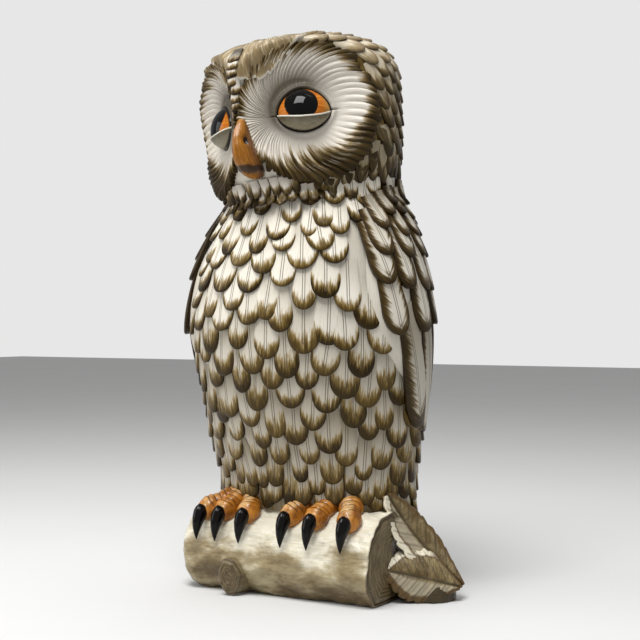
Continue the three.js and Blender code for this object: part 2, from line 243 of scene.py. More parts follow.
torso_surface = body_surface(1)
wing_surface = body_surface(0)

tail_top = (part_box("tail")[1] / MM).z
TAIL_FOOT_WIDTH, TAIL_TOP_WIDTH = 124.0, 70.0
TAIL_SET_BACK, TAIL_LEAN, TAIL_HOLLOW, TAIL_THICKNESS = 116.0, 12.0, 12.0, 24.0


def tail_half_width(z):
    return mix(TAIL_FOOT_WIDTH, TAIL_TOP_WIDTH, np.clip(z / tail_top, 0, 1) ** 1.5) / 2


def tail_surface(p):
    """Moves points back onto the tail, or above it onto the rump."""
    x, z = p[..., 0], p[..., 2]
    h = z / tail_top
    across = x / tail_half_width(z)
    y = TAIL_SET_BACK + TAIL_LEAN * h - TAIL_HOLLOW * across**2 + TAIL_THICKNESS / 2
    a, b, cy, cx = body_section(z, 1)
    back = cy + b * round_off(np.abs(x - cx) / a, least=0.1)
    y = mix(y, back, smooth(z, tail_top - 20, tail_top + 25))
    normal = xyz(2 * TAIL_HOLLOW * across / tail_half_width(z), 1, -0.05)
    return xyz(x, y, z), unit(normal)


# ---- Meshes ----
class Patchwork:
    """Grids of quads and their paint, gathered into one mesh.

    brush is where a point lies across and along the brush strokes, in mm, and which feather it is on.
    tone is how far into the brown a point is, how near a dark edge it is, partly painted shade, and its
    distance from the shaft.
    The third layer is how grey a point is, mostly as painted shade, a random pick for each feather, and how
    pale it is.
    The paints that take these parts for something else say so.
    """

    def __init__(self):
        self.points, self.faces, self.paint, self.count = [], [], [], 0

    def add(self, points, brush=None, tone=None, shade_and_tint=None, around=False, caps=(False, False), flip=False):
        """Adds a grid. around joins its last column to its first, and caps fill its first and last rows."""
        rows, cols = points.shape[:2]
        layers = (0.0 if layer is None else layer for layer in (brush, tone, shade_and_tint))
        paint = [np.broadcast_to(layer, points.shape) for layer in layers]
        index = self.count + np.arange(rows * cols).reshape(rows, cols)
        if around:
            index = np.concatenate([index, index[:, :1]], 1)
        quads = xyz(index[:-1, :-1], index[:-1, 1:], index[1:, 1:], index[1:, :-1]).reshape(-1, 4)
        self.points.append(points.reshape(-1, 3))
        self.paint.append(np.stack([layer.reshape(-1, 3) for layer in paint], 1))
        self.faces.append(quads[:, ::-1] if flip else quads)
        self.count += rows * cols
        for end, wanted in zip((0, -1), caps):
            if not wanted:
                continue
            ring = index[end, :cols]
            fan = xyz(ring, self.count, np.roll(ring, -1))
            self.points.append(points[end].mean(0, keepdims=True))
            self.paint.append(np.stack([layer[end].mean(0) for layer in paint], 0)[None])
            self.faces.append(fan[:, ::-1] if (end == 0) == flip else fan)
            self.count += 1

    def build(self, name, material, slot, *nodes):
        """Makes the piece. It replaces the named nodes, or none where it only covers them."""
        points = np.concatenate(self.points) * MM
        paint = np.concatenate(self.paint)
        sizes = np.concatenate([np.full(len(f), f.shape[1]) for f in self.faces])
        loops = np.concatenate([f.reshape(-1) for f in self.faces])
        mesh = bpy.data.meshes.new(name)
        mesh.vertices.add(len(points))
        mesh.vertices.foreach_set("co", points.astype(np.float32).ravel())
        mesh.loops.add(len(loops))
        mesh.loops.foreach_set("vertex_index", loops.astype(np.int32))
        mesh.polygons.add(len(sizes))
        mesh.polygons.foreach_set("loop_start", np.concatenate([[0], np.cumsum(sizes)[:-1]]).astype(np.int32))
        mesh.polygons.foreach_set("loop_total", sizes.astype(np.int32))
        mesh.polygons.foreach_set("use_smooth", np.ones(len(sizes), bool))
        for k, layer in enumerate(("brush", "tone", "shade_and_tint")):
            attribute = mesh.attributes.new(layer, "FLOAT_VECTOR", "POINT")
            attribute.data.foreach_set("vector", paint[:, k].astype(np.float32).ravel())
        mesh.update(calc_edges=True)
        mesh.validate()
        mesh.materials.append(material)
        piece = bpy.data.objects.new(name, mesh)
        bpy.context.scene.collection.objects.link(piece)
        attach(piece, "root")
        if nodes:
            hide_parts(*nodes)


# ---- Feathers ----
HEM_DEPTH = 1.2  # how far a feather's edge is carried down below its root, so that no gap shows under it
# The hem's foot is painted darker: painted shade under the feather's tip.
HEM_TONE = np.array([0.15, -1.0, 20])  # what the tone gains from the top of that edge to its foot
BARB_SLANT = 1.1  # how far a stroke runs along a quill for each millimetre out from its shaft


def feather_grid(width, length, point, sharp, rows, cols):
    """A feather laid flat: places across and along it, its half width, and their distance from its tip."""
    bend = max(length - width * point, 1.0)
    straight = np.linspace(0, bend, rows // 3, endpoint=False)
    turn = np.radians(np.linspace(0, 84, rows - rows // 3))
    y = np.concatenate([straight, bend + (length - bend) * np.sin(turn)])
    taper = mix(np.cos(turn), (1 - np.sin(turn)) ** 0.7, sharp)
    half = (width / 2 * np.concatenate([mix(0.8, 1, straight / bend), taper]))[:, None]
    x = half * np.sin(np.radians(np.linspace(-90, 90, cols)))
    y = np.broadcast_to(y[:, None], x.shape)
    side = np.clip(np.abs(x) / (width / 2), 0, 1)
    shape = 1 - side**2
    to_tip = bend + (length - bend) * mix(np.sqrt(shape), 1 - side ** (1 / 0.7), sharp) - y
    return x, y, half, to_tip, shape


def feather(sheet, project, tip, down, width, length, *, lift=1.2, sink=-3.2, camber=1.6, band=15.0,
            style="breast", lead=0, point=0.62, sharp=0.0, rows=15, cols=11, grey=0.0, bold=0.0):
    """One feather laid on a surface, its tip at `tip` and pointing `down`.

    It rises from `sink`, under the feathers above it, to `lift` at its tip, and a hem closes its edge.
    Its brown runs in over `band` from the tip, on a covert from all round, and on a primary from one side.
    It greys towards its root as painted shade, and its edge and hem darken, partly as painted shade under its
    tip.
    """
    on, normal = (found[0] for found in project(np.asarray(tip, float)[None]))
    along = unit(np.asarray(down, float) - np.dot(down, normal) * normal)
    across = np.cross(along, normal)
    x, y, half, to_tip, shape = feather_grid(width, length, point, sharp, rows, cols)
    t = y / length
    to_side = half - np.abs(x)
    edge = np.minimum(to_side, to_tip)
    height = sink + (lift - sink) * t**1.3 + camber * shape * (0.35 + 0.65 * t)
    height = height - 1.1 * (1 - smooth(edge, 0, 1.6)) * smooth(t, 0.1, 0.4)
    pick = rng.random()
    surface, normals = project(on + x[..., None] * across + (y - length)[..., None] * along)
    points = surface + normals * height[..., None]
    strokes = xyz(y + BARB_SLANT * np.abs(x), x, 60 * pick)
    if style == "breast":
        brown = 1 - to_tip / band
        strokes = xyz(x, y, 60 * pick)
    elif style == "covert":
        brown = 1 - np.minimum(to_side * 1.1, to_tip * 0.75) / band
    else:
        brown = 1 - np.minimum(half - lead * x, to_tip * 0.6) / band
    tone = xyz(brown + bold, edge, np.abs(x) + 12 * smooth(to_tip, 0.5 * band, 0))
    # Painted shade: greyer towards the root, where the feathers above cover it.
    shade_and_tint = xyz(grey + 0.9 * smooth(t, 0.75, 0.1), pick, 0)
    sheet.add(points, strokes, tone, shade_and_tint)
    outline = [(r, 0) for r in range(rows)] + [(rows - 1, c) for c in range(1, cols)]
    outline += [(r, cols - 1) for r in range(rows - 2, -1, -1)]
    hem = tuple(np.array(outline).T)
    foot = surface[hem] + normals[hem] * (min(sink, -SHELL_DROP) - HEM_DEPTH)
    foot = foot + 0.4 * unit(on - along * length / 2 - points[hem])
    hem_tone = np.stack([tone[hem], tone[hem] + HEM_TONE])
    sheet.add(np.stack([points[hem], foot]), strokes[hem], hem_tone, shade_and_tint[hem], flip=True)


def ring_points(z, count, offset, relief):
    """Evenly spaced points round the body at a height, from its back."""
    a, b, cy, cx = body_section(np.array(float(z)), relief)
    t = np.linspace(0, 2 * np.pi, 721)
    p = xyz(cx + a * np.sin(t), cy + b * np.cos(t))
    run = np.concatenate([[0], np.cumsum(np.linalg.norm(np.diff(p, axis=0), axis=1))])
    want = (np.arange(count) + offset) / count * run[-1]
    return xyz(np.interp(want, run, p[:, 0]), np.interp(want, run, p[:, 1]), z), run[-1] / count


def bezier(points, steps=24):
    a, b, c, d = (np.array(p, float) for p in points)
    t = np.linspace(0, 1, steps, endpoint=False)[:, None]
    return a * (1 - t) ** 3 + 3 * b * t * (1 - t) ** 2 + 3 * c * t * t * (1 - t) + d * t**3


# The wing's outline in Y and Z, from the shoulder down the front edge, round the tip and up the back edge.
WING_OUTLINE = np.concatenate([bezier(b) for b in (
    ((34, 384), (-22, 380), (-36, 334), (-32, 284)),
    ((-32, 284), (-28, 234), (24, 206), (66, 156)),
    ((66, 156), (96, 190), (116, 250), (116, 310)),
    ((116, 310), (114, 352), (84, 386), (34, 384)),
)])
WING_MIDDLE = np.array([48.0, 290.0])


def wing_span(z):
    """Front and back of the wing at a height."""
    front, back = [], []
    loop = np.concatenate([WING_OUTLINE, WING_OUTLINE[:1]])
    for p, q in zip(loop[:-1], loop[1:]):
        if (p[1] - z) * (q[1] - z) <= 0 and p[1] != q[1]:
            y = mix(p[0], q[0], (z - p[1]) / (q[1] - p[1]))
            (front if q[1] < p[1] else back).append(y)
    return (min(front), max(back)) if front and back else None


def under_wing(p, margin):
    span = wing_span(p[2])
    return span is not None and span[0] + margin < p[1] < span[1] - margin and p[2] > 165


# ---- Materials ----
class Paint:
    """A node material, put together from sockets and plain numbers."""

    def __init__(self, name):
        self.material = bpy.data.materials.new(name)
        self.material.use_nodes = True
        self.tree = self.material.node_tree
        self.shader = self.tree.nodes["Principled BSDF"]
        self.layers = {}

    def node(self, kind, inputs=(), output=0, **settings):
        made = self.tree.nodes.new(kind)
        for key, value in settings.items():
            setattr(made, key, value)
        for key, value in dict(inputs).items():
            self.feed(made.inputs[key], value)
        return made.outputs[output]

    def feed(self, socket, value):
        if isinstance(value, bpy.types.NodeSocket):
            self.tree.links.new(value, socket)
        elif value is not None:
            is_colour = socket.type == "RGBA" and len(value) == 3
            socket.default_value = (*value, 1) if is_colour else value

    def math(self, operation, a, b=None, c=None):
        return self.node("ShaderNodeMath", {0: a, 1: b, 2: c}, operation=operation)

    def plus(self, a, b):
        return self.math("ADD", a, b)

    def minus(self, a, b):
        return self.math("SUBTRACT", a, b)

    def inverse(self, a):
        return self.minus(1.0, a)

    def times(self, a, b):
        return self.math("MULTIPLY", a, b)

    def times_plus(self, a, b, c):
        return self.math("MULTIPLY_ADD", a, b, c)

    def scaled(self, vector, x, y, z=1.0):
        return self.node("ShaderNodeVectorMath", {0: vector, 1: (x, y, z)}, operation="MULTIPLY")

    def layer(self, name, part):
        """One number out of a painted layer."""
        if name not in self.layers:
            vector = self.node("ShaderNodeAttribute", output="Vector", attribute_name=name)
            split = self.node("ShaderNodeSeparateXYZ", {0: vector})
            self.layers[name] = (vector, split.node)
        vector, split = self.layers[name]
        return vector if part is None else split.outputs[part]

    def parts(self, name):
        return [self.layer(name, part) for part in range(3)]

    def place(self):
        return self.node("ShaderNodeTexCoord", output="Object")

    def grain(self, vector, scale, detail=3.0, rough=0.55):
        inputs = {"Vector": vector, "Scale": scale, "Detail": detail, "Roughness": rough}
        return self.node("ShaderNodeTexNoise", inputs)

    def streaks(self, across, along, detail):
        """Noise drawn out along the brush strokes."""
        return self.grain(self.scaled(self.layer("brush", None), across, along), 1.0, detail)

    def step(self, value, low, high):
        """0 below low and 1 above high, with a smooth rise between them."""
        return self.node("ShaderNodeMapRange", {0: value, 1: low, 2: high}, interpolation_type="SMOOTHSTEP")

    def spread(self, value, low, high, start=0.3, end=0.7):
        """From low to high while the value goes from start to end."""
        return self.node("ShaderNodeMapRange", {0: value, 1: start, 2: end, 3: low, 4: high})

    def blend(self, factor, a, b):
        made = self.tree.nodes.new("ShaderNodeMix")
        made.data_type = "RGBA"
        self.feed(made.inputs["Factor"], factor)
        self.feed(made.inputs["A"], a)
        self.feed(made.inputs["B"], b)
        return made.outputs["Result"]

    def bump(self, height, distance):
        return self.node("ShaderNodeBump", {"Height": height, "Strength": 1.0, "Distance": distance})

    def glaze(self, colour, roughness, normal=None, coat=0.0, sheen=0.36):
        inputs = {"Base Color": colour, "Roughness": roughness, "Normal": normal, "Coat Weight": coat,
                  "Coat Roughness": 0.08, "Specular IOR Level": sheen}
        for key, value in inputs.items():
            self.feed(self.shader.inputs[key], value)
        return self.material


WHITE = (0.77, 0.73, 0.64)
GREY = (0.21, 0.172, 0.110)
TAN = (0.37, 0.270, 0.112)
UMBER = (0.135, 0.085, 0.020)
DARK = (0.018, 0.010, 0.002)


def plumage(name, white=WHITE, tan=TAN, umber=UMBER, grey=GREY, reach=0.0, shaft=0.75, deep=1.0):
    """White glaze, each feather's end brushed in brown that darkens to its edge, and a pair of shaft lines.

    reach takes the brown further up each feather, shaft is how dark its lines are, and deep how dark its end.
    The grey towards each root is painted shade, and the dark edge round each end is partly painted shade under
    it.
    """
    p = Paint(name)
    into_brown, to_edge, from_shaft = p.parts("tone")
    greyness, pick, paleness = p.parts("shade_and_tint")
    fine = p.streaks(1.1, 0.10, 4.0)
    broad = p.streaks(0.30, 0.06, 2.0)
    ragged = p.plus(p.minus(fine, 0.5), p.times(p.minus(broad, 0.5), 1.1))
    varied = p.plus(p.plus(into_brown, ragged), p.times_plus(pick, 0.3, reach - 0.15))
    brown = p.step(varied, -0.08, 0.48)
    tint = p.grain(p.place(), 14.0, 2.0)
    base = p.blend(p.step(tint, 0.35, 0.7), white, tuple(c * f for c, f in zip(white, (0.93, 0.91, 0.88))))
    # Painted shade: grey where a feather tucks under the ones above, and where bare forms show between
    # feathers.
    base = p.blend(p.times(greyness, 0.42), base, grey)
    base = p.blend(p.times(p.step(fine, 0.5, 0.78), 0.30), base, (0.36, 0.31, 0.22))
    colour = p.blend(brown, base, tan)
    colour = p.blend(p.step(varied, 0.06, 0.60), colour, umber)
    lighter = p.times(p.step(fine, 0.45, 0.75), 0.35)
    colour = p.blend(p.times(brown, lighter), colour, (0.32, 0.220, 0.085))
    darker = p.times(p.step(varied, 0.34, 0.88), p.times_plus(pick, 0.4 * deep, 0.58 * deep))
    colour = p.blend(darker, colour, DARK)
    twin = p.math("ABSOLUTE", p.minus(from_shaft, 1.15))
    pair = p.times(p.inverse(p.step(twin, 0.22, 0.55)), shaft)
    colour = p.blend(pair, colour, (0.10, 0.08, 0.055))
    # A dark edge round each feather's end and down its hem: partly the brushed outline, partly painted shade
    # under the tip.
    edge = p.inverse(p.step(to_edge, -0.8, 0.9))
    edge = p.times(edge, p.times_plus(p.step(into_brown, 0.2, 0.9), 0.7, 0.2))
    colour = p.blend(edge, colour, DARK)
    colour = p.blend(paleness, colour, WHITE)
    pits = p.grain(p.place(), 260.0, 2.0)
    relief = p.plus(p.times(fine, 0.8), p.times(pits, 0.12))
    groove = p.minus(relief, p.times(pair, 0.6))
    return p.glaze(colour, p.spread(fine, 0.18, 0.30, 0.2, 0.8), p.bump(groove, 0.0006), 0.05, 0.11)


PLUMAGE = plumage("plumage_glaze")
COVERT = plumage("covert_glaze", tan=(0.17, 0.118, 0.046), umber=(0.055, 0.033, 0.009))
CROWN = plumage("crown_glaze", white=(0.66, 0.58, 0.45), tan=(0.37, 0.295, 0.175), umber=(0.23, 0.170, 0.090),
                reach=-0.12, shaft=0.45, deep=0.5)
NAPE = plumage("nape_glaze", white=(0.62, 0.54, 0.41), tan=(0.34, 0.26, 0.14), umber=(0.110, 0.075, 0.028),
               reach=-0.02, shaft=0.35, deep=0.85)
RUFF = plumage("ruff_glaze", white=(0.40, 0.345, 0.24), tan=(0.26, 0.19, 0.09), umber=(0.085, 0.055, 0.018),
               reach=0.22, shaft=0.3)
FACE = plumage("face_glaze", white=(0.70, 0.655, 0.58), tan=(0.31, 0.23, 0.115), umber=(0.105, 0.069, 0.023),
               grey=(0.080, 0.067, 0.050), shaft=0.0)


def eye_paint():
    """Black pupil, orange iris with a dark rim, all under clear glass. Brush starts at the pupil's middle."""
    p = Paint("eye_glass")
    look = p.layer("brush", None)
    apart = p.node("ShaderNodeVectorMath", {0: look}, output=1, operation="LENGTH")
    aim = p.node("ShaderNodeVectorMath", {0: look}, operation="NORMALIZE")
    rays = p.grain(p.scaled(aim, 9.0, 9.0, 9.0), 1.0, 3.0)
    iris = p.blend(p.step(rays, 0.3, 0.7), (0.36, 0.085, 0.006), (0.50, 0.175, 0.018))
    iris = p.blend(p.step(apart, 19.0, 28.0), iris, (0.38, 0.195, 0.04))
    pupil = p.blend(p.grain(p.place(), 60.0), (0.001, 0.001, 0.001), (0.004, 0.004, 0.004))
    colour = p.blend(p.inverse(p.step(apart, 15.4, 16.3)), iris, pupil)
    colour = p.blend(p.step(p.layer("tone", 0), 0.93, 0.975), colour, (0.01, 0.008, 0.006))
    smear = p.spread(p.grain(p.place(), 120.0), 0.02, 0.07)
    return p.glaze(colour, smear, p.bump(p.grain(p.place(), 30.0, 1.0), 0.0002), 0.0, 0.16)


def lid_paint():
    """Dark olive above, greyer below, with a painted highlight along the lip at the top and a dark line at the
    bottom.

    Tone is how far a point is below the lid's upper edge, and above its lower one.
    """
    p = Paint("lid_glaze")
    patch = p.streaks(0.12, 0.25, 3.0)
    below, above, _ = p.parts("tone")
    shade = p.step(p.times_plus(patch, 6.0, below), 3.0, 12.0)
    colour = p.blend(shade, (0.090, 0.072, 0.036), (0.245, 0.212, 0.140))
    # Painted highlight: pale along the lid's rolled upper lip.
    colour = p.blend(p.inverse(p.step(below, 0.5, 1.1)), colour, (0.62, 0.59, 0.50))
    colour = p.blend(p.inverse(p.step(above, 0.6, 1.6)), colour, (0.015, 0.012, 0.008))
    return p.glaze(colour, p.spread(patch, 0.2, 0.34), p.bump(patch, 0.0004), 0.3, 0.26)


def beak_paint():
    """Caramel, streaked down its length, with dark nostrils and a dark band near the tip.

    Tone is how far down the beak a point is, how deep in a nostril, and how far round from the ridge.
    Its sides are darkened as painted shade, and its top is paled as a painted highlight.
    """
    p = Paint("beak_glaze")
    down, pit, from_ridge = p.parts("tone")
    streak = p.streaks(0.5, 0.07, 4.0)
    mottle = p.grain(p.place(), 90.0, 4.0)
    colour = p.blend(p.step(streak, 0.2, 0.8), (0.20, 0.068, 0.004), (0.40, 0.160, 0.016))
    colour = p.blend(p.times(p.step(mottle, 0.5, 0.75), 0.5), colour, (0.13, 0.042, 0.007))
    # Painted shade: darker round the sides, away from the ridge.
    colour = p.blend(p.times(p.step(from_ridge, 0.8, 1.7), 0.75), colour, (0.075, 0.026, 0.005))
    # Painted highlight: pale at the beak's top.
    pale = p.inverse(p.step(p.plus(down, p.times(streak, 0.1)), 0.06, 0.16))
    colour = p.blend(p.times(pale, 0.5), colour, (0.60, 0.42, 0.20))
    wobble = p.times_plus(mottle, 0.16, down)
    band = p.times(p.step(wobble, 0.87, 0.90), p.inverse(p.step(wobble, 0.97, 1.02)))
    colour = p.blend(p.times(band, 0.92), colour, (0.022, 0.010, 0.004))
    colour = p.blend(p.step(pit, 0.35, 0.7), colour, (0.012, 0.007, 0.004))
    return p.glaze(colour, p.spread(streak, 0.18, 0.32), p.bump(p.plus(streak, mottle), 0.0005), 0.15, 0.26)


def toe_paint():
    """Amber glaze, dark in the creases, with a pale painted highlight in patches along the top of each toe.

    The first part of tone is how deep in a crease a point is, and its third part how near the toe's top.
    """
    p = Paint("toe_glaze")
    crease, _, top = p.parts("tone")
    mottle = p.grain(p.place(), 110.0, 4.0)
    broad = p.grain(p.place(), 38.0, 2.0)
    colour = p.blend(p.step(mottle, 0.32, 0.68), (0.22, 0.070, 0.006), (0.52, 0.205, 0.026))
    colour = p.blend(p.times(p.step(broad, 0.50, 0.70), 0.75), colour, (0.14, 0.045, 0.007))
    # Painted highlight: pale in patches along the toe's top.
    crest = p.times(p.step(top, 0.75, 1.0), p.step(broad, 0.40, 0.6))
    colour = p.blend(p.times(crest, 0.6), colour, (0.84, 0.56, 0.25))
    colour = p.blend(p.times(p.step(crease, 0.15, 0.8), 0.9), colour, (0.085, 0.026, 0.005))
    return p.glaze(colour, p.spread(mottle, 0.16, 0.30), p.bump(mottle, 0.0009), 0.15, 0.28)


def talon_paint():
    p = Paint("talon_glaze")
    streak = p.streaks(0.9, 0.06, 3.0)
    colour = p.blend(p.step(streak, 0.4, 0.75), (0.002, 0.002, 0.002), (0.010, 0.008, 0.007))
    return p.glaze(colour, p.spread(streak, 0.08, 0.2), p.bump(streak, 0.0003), 0.0, 0.16)


def bark_paint():
    """Cream on top and umber below, with brushed patches; grey-brown end grain with dark splits.

    The first part of tone is how dark a split or an edge is, and its third part is 1 on sawn wood.
    The bark darkens towards the bottom, partly in its own colours and partly as painted shade of the log's
    underside.
    """
    p = Paint("bark_glaze")
    dark, _, is_sawn = p.parts("tone")
    place = p.place()
    height = p.node("ShaderNodeSeparateXYZ", {0: place}, output=2)
    cloud = p.grain(p.scaled(place, 20.0, 36.0, 40.0), 1.0, 5.0, 0.62)
    streak = p.streaks(0.05, 0.35, 4.0)
    fall = p.plus(p.times(height, -15.0), p.times_plus(cloud, 2.1, -0.19))
    cream = p.blend(p.step(streak, 0.3, 0.7), (0.72, 0.66, 0.50), (0.80, 0.76, 0.64))
    khaki = p.blend(p.step(cloud, 0.35, 0.65), (0.42, 0.35, 0.205), (0.28, 0.215, 0.108))
    # Cream to khaki to umber towards the bottom: the bark's own colours, deepened low down as painted shade.
    colour = p.blend(p.step(fall, -0.10, 0.45), cream, khaki)
    colour = p.blend(p.step(fall, 0.40, 0.95), colour, (0.105, 0.070, 0.026))
    lines = p.times(p.step(streak, 0.60, 0.68), p.step(cloud, 0.42, 0.62))
    colour = p.blend(p.times(lines, 0.55), colour, (0.20, 0.15, 0.08))
    grain = p.streaks(0.6, 0.06, 4.0)
    sawn = p.blend(p.step(grain, 0.3, 0.7), (0.065, 0.043, 0.016), (0.19, 0.140, 0.066))
    colour = p.blend(is_sawn, colour, sawn)
    colour = p.blend(p.times(p.step(dark, 0.25, 0.9), 0.85), colour, (0.060, 0.038, 0.015))
    relief = p.plus(p.times(streak, 0.7), p.times(grain, 0.3))
    return p.glaze(colour, p.spread(cloud, 0.24, 0.42), p.bump(relief, 0.0012), 0.2, 0.28)


def leaf_paint():
    """Taupe with dark veins, and a cream edge with a brown line inside it.

    Tone is how far a point is from the blade's edge, how near a vein, and where it lies from side to side.
    The third layer is 1 on the ruffled side, where the edge is cream, and then how dark the mound under the
    leaves is.
    """
    p = Paint("leaf_glaze")
    from_edge, vein, across = p.parts("tone")
    ruffled, is_mound, _ = p.parts("shade_and_tint")
    fine = p.streaks(0.12, 0.9, 4.0)
    cloud = p.grain(p.place(), 45.0, 3.0)
    colour = p.blend(p.step(cloud, 0.3, 0.7), (0.105, 0.068, 0.022), (0.34, 0.26, 0.125))
    colour = p.blend(p.times(p.step(fine, 0.42, 0.70), 0.65), colour, (0.050, 0.032, 0.010))
    lower = p.times(p.step(across, 0.05, 0.25), p.step(across, 0.98, 0.9))
    colour = p.blend(p.times(lower, 0.6), colour, (0.55, 0.49, 0.36))
    near = p.plus(from_edge, p.times_plus(cloud, 8.0, -4.0))
    near = p.times_plus(ruffled, -3.2, near)
    colour = p.blend(p.inverse(p.step(near, 4.0, 7.0)), colour, (0.12, 0.070, 0.022))
    cream = p.times(p.inverse(p.step(near, 2.4, 4.6)), ruffled)
    colour = p.blend(cream, colour, (0.74, 0.68, 0.53))
    colour = p.blend(p.times(vein, 0.85), colour, (0.045, 0.032, 0.015))
    colour = p.blend(p.times(is_mound, 0.9), colour, (0.036, 0.024, 0.009))
    return p.glaze(colour, p.spread(cloud, 0.24, 0.40), p.bump(p.plus(fine, cloud), 0.0008), 0.1, 0.26)


EYE, LID, BEAK, TOE = eye_paint(), lid_paint(), beak_paint(), toe_paint()
TALON, BARK, LEAF = talon_paint(), bark_paint(), leaf_paint()


# ---- Body ----
def torso():
    """The bare body under the feathers, cut off in line with the head's seat."""
    sheet = Patchwork()
    height, turn = np.meshgrid(np.linspace(79, 401, 190), full_turn(300), indexing="ij")
    a, b, cy, cx = body_section(height, 1)
    on, normal = torso_surface(xyz(cx + a * np.cos(turn), cy + b * np.sin(turn), height))
    points = on - normal * SHELL_DROP
    up = HEAD_AXES[:, 2]
    over = np.maximum((points - from_head(np.array([0, 0, 3.0]))) @ up, 0)
    # Painted shade: the bare body is grey where it shows between feathers, and greyer and browner near its
    # bottom by the log.
    low = smooth(height, 130, 84)
    sheet.add(points - over[..., None] * up, xyz(turn * 100, height, 0), xyz(1.15 * low - 1, 9, 20),
              xyz(0.8 + 1.2 * low, 0.5, 0), around=True, caps=(True, True))
    sheet.build("torso_form", PLUMAGE, "plumage_glaze", "torso_shell")


BODY_ROWS = (80, 90, 101, 114, 129, 146, 164, 182, 201, 220, 239, 258, 277, 296, 315, 333, 350, 365, 378, 389)
BODY_FEATHERS = 19  # in a row, all round
BODY_FEATHER_LENGTH = 50


def body_feathers():
    regions = {"breast": Patchwork(), "belly": Patchwork(), "back": Patchwork(), "rump": Patchwork()}
    for k, z in enumerate(BODY_ROWS):
        row, pitch = ring_points(z, BODY_FEATHERS, 0.5 * (k % 2) + 0.12, 1)
        for spot in row:
            spot = spot + np.array([0, 0, rng.normal(0, 3.8)])
            front = spot[1] < 20
            name = ("breast" if z > 225 else "belly") if front else ("back" if z > 205 else "rump")
            normal = torso_surface(spot[None])[1][0]
            sideways = np.cross([0, 0, 1.0], normal)
            spot = spot + sideways * rng.normal(0, 2.8)
            down = np.array([0, 0, -1.0]) + sideways * rng.normal(0, 0.07)
            size = rng.uniform(0.63, 0.95) * (0.86 if z > 345 or z < 120 else 1.0)
            band = rng.uniform(12, 25) * mix(1.06, 0.62, float(smooth(z, 190, 345)))
            if under_wing(spot, -7):
                continue
            # Painted shade: feathers lower on the body are greyer, as the underside is in shade.
            feather(regions[name], torso_surface, spot, down, pitch * size, BODY_FEATHER_LENGTH, band=band,
                    lift=rng.uniform(0.4, 2.2), grey=1.2 * float(smooth(z, 300, 130)),
                    bold=-0.12 * float(smooth(z, 170, 300)))
    for name, sheet in regions.items():
        sheet.build(f"{name}_feathers", PLUMAGE, "plumage_glaze")


def wings():
    for label, side in SIDES:
        wing_form(label, side)
        wing_feathers(label, side)


def wing_form(label, side):
    """The bare wing under its feathers: its outline drawn in to its middle, with a rounded edge."""
    form = Patchwork()
    rings = np.array([0.02, 0.2, 0.4, 0.6, 0.75, 0.84, 0.9, 0.94, 0.97, 0.99, 1.0, 1.005])
    closed = np.concatenate([WING_OUTLINE, WING_OUTLINE[:1]])
    corners = len(WING_OUTLINE)
    along = np.linspace(0, corners, 3 * corners + 1)[:-1]
    edge = xyz(*(np.interp(along, np.arange(corners + 1), closed[:, i]) for i in (0, 1)))
    yz = WING_MIDDLE + (edge - WING_MIDDLE) * rings[:, None, None]
    start = xyz(side * 130, yz[..., 0], yz[..., 1])
    outer, out = wing_surface(side_hit(start, side, 0))
    inner, _ = torso_surface(side_hit(start, side, 1))
    points = mix(inner - out * 1.5, outer - out * SHELL_DROP, round_off((rings - 0.9) / 0.1)[:, None, None])
    # Painted shade: grey where the bare wing shows between its feathers.
    form.add(points, xyz(yz[..., 0], yz[..., 1], 0), (-1.0, 9, 20), (0.6, 0.5, 0), around=True,
             caps=(True, False), flip=side > 0)
    form.build(f"{label}_wing_form", PLUMAGE, "plumage_glaze", f"{label}_wing")


def side_hit(p, side, relief):
    """Points at the same Y and Z on the body's flank."""
    a, b, cy, cx = body_section(p[..., 2], relief)
    reach = round_off(np.abs(p[..., 1] - cy) / b, least=0.02)
    return xyz(cx + side * a * reach, p[..., 1], p[..., 2])


# Tips of the wing's long quills, front to back: Y, Z and how far each slants backwards.
QUILLS = ((40, 165, 0.42), (63, 159, 0.38), (82, 178, 0.32),
          (97, 203, 0.27), (108, 232, 0.22), (113, 264, 0.18))
# Rows of coverts over them: height of the tips, number, width, length and how far in their brown runs.
COVERT_ROWS = ((259, 4, 35, 80, 10.5), (303, 6, 27, 64, 9.5), (331, 5, 26, 50, 9),
               (352, 5, 24, 38, 9), (371, 4, 21, 28, 8.5), (384, 4, 17, 22, 7))
# The coverts of the wing's back edge: height of the tip, width and length.
EDGE_COVERTS = ((232, 28, 80), (262, 28, 74), (292, 26, 60), (320, 25, 50), (345, 23, 40), (366, 21, 30))
# Their grey is painted shade of the wing.
COVERT_FORM = dict(style="covert", camber=1.9, point=0.8, rows=18, cols=13, grey=0.45)  # of all of these


def wing_feathers(label, side):
    quills, coverts = Patchwork(), Patchwork()
    for k, (y, z, slant) in enumerate(QUILLS):
        # The quills' grey is painted shade of the wing.
        feather(quills, wing_surface, side_hit(np.array([0, y, z]), side, 0), (0, slant, -1.0), 35, 132,
                lift=1.2 - 0.35 * k, sink=-2.6, camber=1.4, band=(14, 7.0)[k > 0], style="primary", lead=side,
                point=1.0, rows=24, cols=13, grey=0.9)
    for j, (z, count, width, length, band) in enumerate(COVERT_ROWS):
        front, back = wing_span(min(z, 380))
        for k in range(count):
            share = (k + (0.44, 0.50)[j % 2]) / count
            y = mix(front, back, min(share, 0.97)) + rng.normal(0, 1.2)
            tip_z = z + rng.normal(0, 3) + 10 * (share - 0.4) * (z < 300)
            down = (0, 0.26 - 0.40 * share + rng.normal(0, 0.03), -1.0)
            feather(coverts, wing_surface, side_hit(np.array([0, y, tip_z]), side, 0), down,
                    width * rng.normal(1.0, 0.05), length, lift=1.4 + 0.25 * j, sink=-2.4 + 0.2 * j,
                    band=band * rng.uniform(0.85, 1.15), **COVERT_FORM)
    quills.build(f"{label}_wing_quills", COVERT, "plumage_glaze")
    coverts.build(f"{label}_wing_coverts", COVERT, "plumage_glaze")


